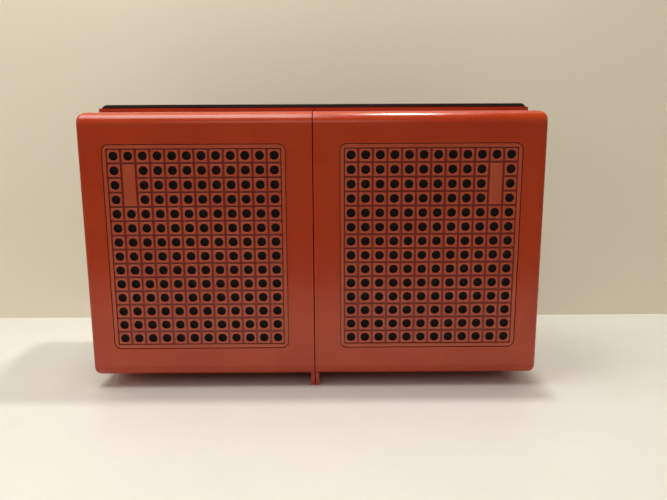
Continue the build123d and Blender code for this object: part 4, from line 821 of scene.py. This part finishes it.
# %% [markdown]
# Inside the unit the drivers' magnets are ferrite, and the motor and the transformer have cores of
# stacked sheets inside coils of enamelled wire. Each sheet and each turn could be a mesh of its
# own. As bands in the shader they look the same at this size, and cost nothing.

# %% Ferrite
# Ferrite: a ground ceramic, nearly black, dull.
ferrite, tree, shader = new_finish("ferrite_ground", "#33343A", 0.6, Metallic=0.3)
pores = grain(tree, 1.2, detail=5.0)
bump = add(tree, BUMP, {"Height": pores, "Distance": 0.04 * MM})
feed(tree, shader, Normal=bump)
FINISH["ferrite"] = ferrite
print(ferrite.name)

# %% Stacked sheets
SHEET_MM = 1.0

# Laminations: half-millimetre sheets stacked and lacquered, drawn 1 mm apart to show.
lamination, tree, shader = new_finish("laminations_lacquered", "#3E3A37", 0.4, Metallic=0.4)
space = add(tree, "ShaderNodeTexCoord", {})
sheets = add(tree, WAVE, {"Vector": space.outputs["Object"], "Scale": WAVE_LENGTH / (SHEET_MM * MM),
                          "Distortion": 0.4}, bands_direction="Y").outputs["Fac"]
colour = add(tree, MIX, {FACTOR: sheets, FIRST: rgb("#26221F"), SECOND: rgb("#4A4541")},
             data_type="RGBA")
bump = add(tree, BUMP, {"Height": sheets, "Distance": 0.15 * MM})
feed(tree, shader, Base_Color=colour, Normal=bump)
FINISH["lamination_steel"] = lamination
print(lamination.name, "sheets", SHEET_MM, "mm apart")

# %% Wire
WIRE_MM = 0.8

# Enamelled wire: turns side by side under varnish, whose gloss runs along each turn.
enamel, tree, shader = new_finish("copper_wire_enamelled", "#8E431F", 0.25, Metallic=0.6)
space = add(tree, "ShaderNodeTexCoord", {})
turns = add(tree, WAVE, {"Vector": space.outputs["Object"], "Scale": WAVE_LENGTH / (WIRE_MM * MM),
                         "Distortion": 0.6}, bands_direction="Z").outputs["Fac"]
colour = add(tree, MIX, {FACTOR: turns, FIRST: rgb("#6A2E14"), SECOND: rgb("#A85428")},
             data_type="RGBA")
bump = add(tree, BUMP, {"Height": turns, "Distance": 0.25 * MM})
feed(tree, shader, Base_Color=colour, Normal=bump)
FINISH["enamelled_copper"] = enamel
print(enamel.name, "turns", WIRE_MM, "mm apart;", len(FINISH), "finishes")

# %% [markdown]
# ## Turned and moulded small parts
# Knobs, the mat, feet, screws and the counterweight are all bodies of revolution with something
# added: flutes, ribs or a cross recess. They could be screw modifiers with cuts, but stacks of
# rings give the same control as in the grille: each ring has its own outline, so a fluted grip
# runs into a round edge without a cut.

# %% Round, fluted and crossed outlines
def circle(radius, steps=96, flutes=0, cut=0.0):
    """Points round a circle; flutes scallop it inwards by the cut."""
    points = []
    for i in range(steps):
        angle = 2 * math.pi * i / steps
        reach = radius - cut * (0.5 - 0.5 * math.cos(flutes * angle))
        points.append((reach * math.cos(angle), reach * math.sin(angle)))
    return points


def cross(width, length, steps=32):
    """Points round a cross with equal arms, as a screwdriver leaves it."""
    points = []
    for i in range(steps):
        angle = 2 * math.pi * i / steps
        c, s = abs(math.cos(angle)) + 1e-9, abs(math.sin(angle)) + 1e-9
        reach = max(min(length / c, width / s), min(width / c, length / s)) / 2
        points.append((reach * math.cos(angle), reach * math.sin(angle)))
    return points


print("points round a fluted grip:", len(circle(16, 192, 24, 0.5)))


# %% Stacks of rings
def stack(bm, rings, middle, upright=False):
    """Closed skin over rings along the depth at middle (x, z), or along z at (x, depth)."""
    loops = []
    for points, along in rings:
        loop = []
        for a, b in points:
            first, second = middle[0] + a, middle[1] + b
            spot = place(first, second, along) if upright else place(first, along, second)
            loop.append(bm.verts.new(spot))
        loops.append(loop)
    skin(bm, loops)
    return loops


def capped(bm, loops):
    """Fills the first and the last loop of a stack."""
    bm.faces.new(loops[0])
    bm.faces.new(loops[-1])


print("made stack() for rings along the depth or the height, and capped() for their ends")

# %% [markdown]
# ## Knobs
# Each knob is black ABS with a thin skirt, a fluted grip and a spun aluminium disc in its face,
# with an ivory line that shows where it points. One turned shape with painted areas would be
# simpler, but the real knob is glued up from a moulding, a disc and a line, so here too each is a
# piece of its own that turns with the knob.

# %% Knob grips
KNOB_PLACES = {"volume": (140, 113), "balance": (194, 113), "tone": (140, 63), "speed": (194, 63)}
KNOB_FRONT = 60.8
KNOB_BACK = 76.8
SHAFT_RADIUS = 3.0
FINE_STEPS = 192
FLUTES = 24
# Radius and how far ahead of the knob's back.
KNOB_SKIRT = ((16.6, 0), (17, 0.3), (17, 2.0), (16.8, 2.4), (16.0, 2.5))
# Radius, depth of the flutes and how far behind the knob's front.
KNOB_GRIP = ((15.9, 0.0, 13.5), (15.9, 0.5, 13.3), (15.3, 0.5, 1.6), (14.9, 0.35, 0.7))
# Radius and how far behind the knob's front.
KNOB_RIM = ((14.2, 0.15), (13.6, 0), (12.9, 0), (12.6, 0.25), (12.6, 1.1))


def knob_grip(name, middle):
    shaft_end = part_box(name + "_knob")[1].y / MM + FRONT_DEPTH
    shaft = circle(SHAFT_RADIUS, FINE_STEPS)
    rings = [(shaft, shaft_end), (shaft, KNOB_BACK)]
    rings += [(circle(radius, FINE_STEPS), KNOB_BACK - ahead) for radius, ahead in KNOB_SKIRT]
    for radius, cut, behind in KNOB_GRIP:
        rings.append((circle(radius, FINE_STEPS, FLUTES, cut), KNOB_FRONT + behind))
    rings += [(circle(radius, FINE_STEPS), KNOB_FRONT + behind) for radius, behind in KNOB_RIM]
    bm = bmesh.new()
    capped(bm, stack(bm, rings, middle))
    make_piece(name + "_knob_grip", bm, [FINISH["knob_abs"]], name + "_control",
               [name + "_knob"])


print("knobs stand", round(KNOB_BACK - KNOB_FRONT, 1), "mm tall")

# %% Knob discs
DISC_PROFILE = ((12.3, 1.2), (12.5, 1.0), (12.5, 0.5), (12.2, 0.3), (9, 0.42), (5, 0.5), (0.6, 0.52))


def knob_disc(name, middle):
    """The disc has rings of its own, closer than the platter's."""
    spun = turned_metal(name + "_disc_spun", "#C9CACC", 0.26, middle, 0.5)
    bm = bmesh.new()
    rings = [(circle(radius), KNOB_FRONT + behind) for radius, behind in DISC_PROFILE]
    capped(bm, stack(bm, rings, middle))
    make_piece(name + "_knob_disc", bm, [spun], name + "_control")


print("rings of a disc:", len(DISC_PROFILE))


# %% Bars with rounded edges
def rounded_bar(name, low, high, edge, material, body):
    """Small bar between two corners (x, depth, z), its edges rounded by a bevel."""
    bm = bmesh.new()
    first, second = place(*low), place(*high)
    bmesh.ops.create_cube(bm, size=1.0)
    for vertex in bm.verts:
        for axis in range(3):
            middle = (first[axis] + second[axis]) / 2
            vertex.co[axis] = middle + vertex.co[axis] * (second[axis] - first[axis])
    bmesh.ops.bevel(bm, geom=bm.edges[:], offset=edge * MM, segments=3, profile=0.5, affect="EDGES")
    make_piece(name, bm, [material], body, sharp=40)


BAR_EDGE = 0.25
print("bars are rounded by", BAR_EDGE, "mm")

# %% Ivory line
# Enamel filled into a groove: cream, with a soft gloss and a little wear.
ivory_enamel, tree, shader = new_finish("ivory_enamel_line", "#E6DFC8", 0.4, IOR=1.5)
wear = grain(tree, 1.5, detail=3.0)
colour = add(tree, MIX, {FACTOR: wear, FIRST: rgb("#DCD4BA"), SECOND: rgb("#EDE7D4")},
             data_type="RGBA")
feed(tree, shader, Base_Color=colour)
print(ivory_enamel.name)

# %% Make the knobs
LINE_HALF = 0.9
LINE_START = 4
LINE_END = 12.3
LINE_FRONT = 0.05
LINE_BACK = 0.9

for name, (x, z) in KNOB_PLACES.items():
    knob_grip(name, (x, z))
    knob_disc(name, (x, z))
    low = (x - LINE_HALF, KNOB_FRONT + LINE_FRONT, z + LINE_START)
    high = (x + LINE_HALF, KNOB_FRONT + LINE_BACK, z + LINE_END)
    rounded_bar(name + "_knob_line", low, high, BAR_EDGE, ivory_enamel, name + "_control")

# %% [markdown]
# ## Marks on the control panel
# Screen-printed ink on brushed aluminium: a ring of ticks and numbers round each knob. Real ink
# is 0.02 mm thick; the marks stand 0.05 mm proud so that they show. An image could carry them,
# but shapes stay sharp at any distance.

# %% Ink
# Screen ink: flat black, dull, with patches where it took up more or less oil.
ink, tree, shader = new_finish("screen_ink_black", "#141414", 0.55, IOR=1.5)
patches = grain(tree, 0.8, detail=2.0)
gloss = add(tree, RANGE, {"Value": patches, **MIDDLE, "To Min": 0.45, "To Max": 0.65})
feed(tree, shader, Roughness=gloss)
print(ink.name)

# %% Ticks
PANEL_FACE = 77.2
INK_DEPTH = 0.05
TICK_IN = 18.4
TICK_OUT = 20.4
TICK_WIDTH = 0.45


def add_tick(bm, x, z, angle):
    """Short radial line; the angle is clockwise from the top, seen from the front."""
    c, s = math.cos(angle), math.sin(angle)
    corners = []
    for out, side in ((TICK_IN, -1), (TICK_IN, 1), (TICK_OUT, 1), (TICK_OUT, -1)):
        across = side * TICK_WIDTH
        corners.append((x + out * s + across / 2 * c, z + out * c - across / 2 * s))
    front = [bm.verts.new(place(a, PANEL_FACE - INK_DEPTH, b)) for a, b in corners]
    back = [bm.verts.new(place(a, PANEL_FACE, b)) for a, b in corners]
    bm.faces.new(front)
    for i in range(4):
        j = (i + 1) % 4
        bm.faces.new((front[i], back[i], back[j], front[j]))


print("ticks", round(TICK_OUT - TICK_IN, 1), "mm long and", INK_DEPTH, "mm thick")

# %% Figures and words
FIGURE_RADIUS = 22.6
FIGURE_SIZE = 3.2


def add_word(bm, word, x, z, size=FIGURE_SIZE):
    """Letters standing on the panel, centred on the point."""
    curve = bpy.data.curves.new("word", "FONT")
    curve.body = word
    curve.size = size * MM
    curve.align_x, curve.align_y = "CENTER", "CENTER"
    curve.extrude = INK_DEPTH / 2 * MM
    letters = bpy.data.objects.new("word", curve)
    mesh = bpy.data.meshes.new_from_object(letters)
    upright = Matrix.Rotation(math.pi / 2, 4, "X")
    mesh.transform(Matrix.Translation(place(x, PANEL_FACE - INK_DEPTH / 2, z)) @ upright)
    bm.from_mesh(mesh)
    bpy.data.objects.remove(letters)
    bpy.data.meshes.remove(mesh)
    bpy.data.curves.remove(curve)


def dial_marks(name, marks):
    """Ticks at angles in degrees, each with its word."""
    x, z = KNOB_PLACES[name]
    bm = bmesh.new()
    for degrees, word in marks:
        angle = math.radians(degrees)
        add_tick(bm, x, z, angle)
        add_word(bm, word, x + FIGURE_RADIUS * math.sin(angle), z + FIGURE_RADIUS * math.cos(angle))
    make_piece(name + "_dial_marks", bm, [ink], "unit")


print("figures", FIGURE_SIZE, "mm tall")

# %% Print the panel
POWER_WORD = ("ON/OFF", 140, 40.5, 2.8)

scale = [(-135 + 27 * step, str(step)) for step in range(11)]
dial_marks("volume", scale)
dial_marks("tone", scale)
dial_marks("balance", [(-135, "L"), (-90, ""), (-45, ""), (0, "0"), (45, ""), (90, ""), (135, "R")])
dial_marks("speed", [(0, "33"), (60, "45")])
bm = bmesh.new()
add_word(bm, *POWER_WORD)
make_piece("power_mark", bm, [ink], "unit")

# %% [markdown]
# ## The mat and the counterweight
# The mat is moulded rubber with fine ribs in four bands, so that a record rests on their crests.
# The counterweight is turned steel, knurled where fingers turn it. A bump could draw the ribs and
# the knurls, but their outline would stay smooth, so both are in the rings. Real ribs are 1 mm
# apart; these are 2 mm apart so that they show.

# %% Profile of the mat
MAT_FRONT = 69.5
MAT_BACK = 72.0
MAT_BORE = 4.3
MAT_STEPS = 128
BANDS = ((34, 50), (54, 70), (74, 90), (94, 105))
RIB_PITCH = 2
# One rib, and the valleys beside a band: distance outwards and depth behind the front.
RIB = ((0, 0.4), (0.6, 0), (1.2, 0), (1.8, 0.4))
BAND_START = ((-1.5, 0.6), (-1.2, 0.25))
BAND_END = ((0.3, 0.25), (0.8, 0.6))

# Radius and depth behind the front, from the bore out over the label's ring and the bands.
mat_front = [(MAT_BORE + 0.4, 0.3), (28.5, 0.3), (29, 0), (31, 0), (31.5, 0.6)]
for low, high in BANDS:
    mat_front += [(low + out, behind) for out, behind in BAND_START]
    for rib in range(int((high - low) / RIB_PITCH)):
        mat_front += [(low + rib * RIB_PITCH + out, behind) for out, behind in RIB]
    mat_front += [(high + out, behind) for out, behind in BAND_END]
# The outermost band ends at the mat's own edge.
mat_front[-1:] = [(106.2, 0.2), (106.8, 0.6)]
print("points in the mat's profile:", len(mat_front))

# %% Mat
profile = [(MAT_BORE, MAT_BACK), (MAT_BORE, MAT_FRONT + 0.7)]
profile += [(radius, MAT_FRONT + behind) for radius, behind in mat_front]
profile += [(107, MAT_BACK - 0.4), (106.8, MAT_BACK), (MAT_BORE, MAT_BACK)]
bm = bmesh.new()
stack(bm, [(circle(radius, MAT_STEPS), depth) for radius, depth in profile], PLATTER_MIDDLE)
make_piece("ribbed_mat", bm, [rubber], "turntable", ["platter_mat"], sharp=50)

# %% Counterweight
ARM_MIDDLE = (86, 60)
KNURLS = 48
KNURL_DEPTH = 0.45
# Radius and height, up the outside; the bore closes it.
WEIGHT_FOOT = ((4.05, 265.0), (6.5, 265.0), (7.6, 265.4), (7.9, 266.2), (7.9, 267.4))
WEIGHT_GRIP = ((8.5, 267.8), (8.5, 276.8))
WEIGHT_TOP = ((7.9, 277.2), (7.9, 278.8), (7.4, 279.7), (6.4, 280.0), (4.05, 280.0))

rings = [(circle(radius, FINE_STEPS), height) for radius, height in WEIGHT_FOOT]
rings += [(circle(radius, FINE_STEPS, KNURLS, KNURL_DEPTH), height) for radius, height in WEIGHT_GRIP]
rings += [(circle(radius, FINE_STEPS), height) for radius, height in WEIGHT_TOP]
bm = bmesh.new()
stack(bm, rings + rings[:1], ARM_MIDDLE, upright=True)
make_piece("knurled_weight", bm, [FINISH["zinc_steel"]], "pickup_arm", ["counterweight"])

# %% [markdown]
# ## The headshell
# A black moulding like an upturned tray, open towards the record, with a tapered nose, three ribs
# on its top and a thin finger lift. A cube with its edges bevelled would come close, but not to
# the taper. Sections across the tray are laid one after another along the arm instead, each with
# as many points as the next, so the tray's hollow starts and ends with a step.

# %% Headshell tray
SHELL_MIDDLE = (86, 58.5)
SHELL_WALL = 1.5
SHELL_BACK = 4.0
SHELL_EDGE = 1.2
SOLID = 0.01
HOLLOW = 6.4
# Half width, how far the top stands forward, how deep the tray is, and the height.
SECTIONS = ((6.2, 2.6, SOLID, 27.0), (7.2, 3.3, SOLID, 27.5), (9.1, 3.9, SOLID, 30.0),
            (9.3, 4.0, SOLID, 30.6), (9.3, 4.0, HOLLOW, 30.6), (9.5, 4.0, HOLLOW, 34.0),
            (9.5, 4.0, HOLLOW, 56.0), (9.0, 4.0, HOLLOW, 63.0), (8.8, 4.0, HOLLOW, 64.0),
            (8.8, 4.0, SOLID, 64.0), (7.0, 3.6, SOLID, 67.0), (5.6, 3.2, SOLID, 69.0))


def tray_section(half, top, hollow):
    """Outline across the shell, its top towards the front; hollow is how deep the tray is."""
    outer = [(-half, SHELL_BACK), (-half, -top + SHELL_EDGE), (-half + 0.35, -top + 0.35),
             (-half + SHELL_EDGE, -top)]
    outer += [(-x, depth) for x, depth in reversed(outer)]
    inner_half = half - SHELL_WALL
    floor = SHELL_BACK - hollow
    inner = [(inner_half, SHELL_BACK), (inner_half, floor + 0.3), (inner_half - 0.3, floor)]
    return outer + inner + [(-x, depth) for x, depth in reversed(inner)]


bm = bmesh.new()
rings = [(tray_section(half, top, hollow), height) for half, top, hollow, height in SECTIONS]
capped(bm, stack(bm, rings, SHELL_MIDDLE, upright=True))
make_piece("headshell_tray", bm, [FINISH["black_abs"]], "pickup_arm", ["headshell"],
           sharp=35)

# %% Finger lift
# The lift is a thin blade with a turned-up tip, swept along the arm by its own width.
LIFT_OUTLINE = [(8.8, -3.9), (14.0, -3.9), (17.5, -3.4), (19.5, -1.6), (19.2, -1.3), (17.2, -2.6),
                (13.8, -3.0), (8.8, -3.0)]
LIFT_HEIGHTS = (31.5, 33.5, 35.5)

bm = bmesh.new()
capped(bm, stack(bm, [(LIFT_OUTLINE, height) for height in LIFT_HEIGHTS], SHELL_MIDDLE, upright=True))
make_piece("headshell_finger_lift", bm, [FINISH["black_abs"]], "pickup_arm", sharp=50)

# %% Ribs
# The ribs stiffen the headshell's thin top. They lie along the arm and stand a little proud.
RIB_SPACING = 4.5
RIB_HALF = 0.9
RIB_DEPTHS = (54.52, 55.2)
RIB_HEIGHTS = (38, 58)

for rib in (1, 2, 3):
    across = SHELL_MIDDLE[0] + RIB_SPACING * (rib - 2)
    low = (across - RIB_HALF, RIB_DEPTHS[0], RIB_HEIGHTS[0])
    high = (across + RIB_HALF, RIB_DEPTHS[1], RIB_HEIGHTS[1])
    rounded_bar("headshell_rib_%d" % rib, low, high, BAR_EDGE, FINISH["knob_abs"], "pickup_arm")

# %% [markdown]
# ## Screws and feet
# Pan-head screws with a cross recess hold the back panels and the housing. The feet are rubber
# buttons with a hollow in the middle, where the screw or the rivet sits in the real ones. Both
# could be cylinders with cuts, but the stacks of rings give their round edges too.

# %% One row of screws
# Radius and height of the head's outline, above the face that the screw holds.
SCREW_PROFILE = ((3.2, 0.0), (3.2, 0.9), (3.0, 1.5), (2.6, 1.85), (2.1, 2.0))
# Width and length of the cross, at the head's top and at the recess's floor, with their heights.
RECESS = ((1.0, 3.6, 2.0), (0.8, 3.2, 1.0))
SHANK_RADIUS = 1.5
TIP_RADIUS = 0.6
TIP_LENGTH = 1.5
SCREW_STEPS = 32


def cross_screws(name, places, head, reach, body, node):
    """Screws driven forwards through a face at depth head, each going in by reach."""
    bm = bmesh.new()
    for middle in places:
        tip, shank = circle(TIP_RADIUS, SCREW_STEPS), circle(SHANK_RADIUS, SCREW_STEPS)
        rings = [(tip, head - reach), (shank, head - reach + TIP_LENGTH), (shank, head)]
        rings += [(circle(radius, SCREW_STEPS), head + behind) for radius, behind in SCREW_PROFILE]
        rings += [(cross(width, length), head + behind) for width, length, behind in RECESS]
        capped(bm, stack(bm, rings, middle))
    make_piece(name, bm, [FINISH["zinc_steel"]], body, [node], sharp=35)


print("a screw's head is", 2 * SCREW_PROFILE[0][0], "mm wide")

# %% Drive the screws
HOUSING_SCREWS = [(x, z) for x in (-218.5, 116.25, 218.5) for z in (17, 283)]
HOUSING_FACE = 147.0
HOUSING_REACH = 20.0
BACK_PANEL_FACE = 40.5
BACK_PANEL_REACH = 17.0

cross_screws("housing_cross_screws", HOUSING_SCREWS, HOUSING_FACE, HOUSING_REACH, "unit",
             "housing_screws")
for side, name in ((1, "right"), (-1, "left")):
    corners = [(side * x, z) for x in (14.5, 218.5) for z in (27, 273)]
    cross_screws(name + "_panel_cross_screws", corners, BACK_PANEL_FACE, BACK_PANEL_REACH,
                 name + "_speaker", name + "_back_panel_screws")

# %% Feet
# Radius and height above what the foot stands on.
FOOT_PROFILE = ((7.0, 3.0), (7.0, 0.7), (6.8, 0.2), (6.3, 0.0), (4.2, 0.0), (3.9, 0.2), (3.6, 1.6))
FOOT_STEPS = 48
FOOT_X = 190.5
FOOT_DEPTHS = (89.5, 133.0)
FOOT_HEIGHTS = (45.0, 255.0)
CASE_BACK = 150.0

outline = [(circle(radius, FOOT_STEPS), height) for radius, height in FOOT_PROFILE]
bm = bmesh.new()
for x in (-FOOT_X, FOOT_X):
    for depth in FOOT_DEPTHS:
        capped(bm, stack(bm, outline, (x, depth), upright=True))
    for z in FOOT_HEIGHTS:
        capped(bm, stack(bm, [(points, CASE_BACK - height) for points, height in outline], (x, z)))
make_piece("hollow_feet", bm, [rubber], "unit", ["rubber_feet"], sharp=40)

# %% [markdown]
# ## Every other solid gets its finish
# The construction's solids have their real form, so each takes the finish of its own material.
# The arm's tube is drawn, not rolled, so its marks run along it.

# %% Finish every solid
SPECIAL = {"arm_tube": drawn_aluminium}

slots = {part["node"]: part["material_slot"] for part in frame["record"]["subparts"]}
for name, solid in frame["nodes"].items():
    solid.data.materials.clear()
    solid.data.materials.append(SPECIAL.get(name, FINISH[slots[name]]))
print("finished solids:", len(slots))
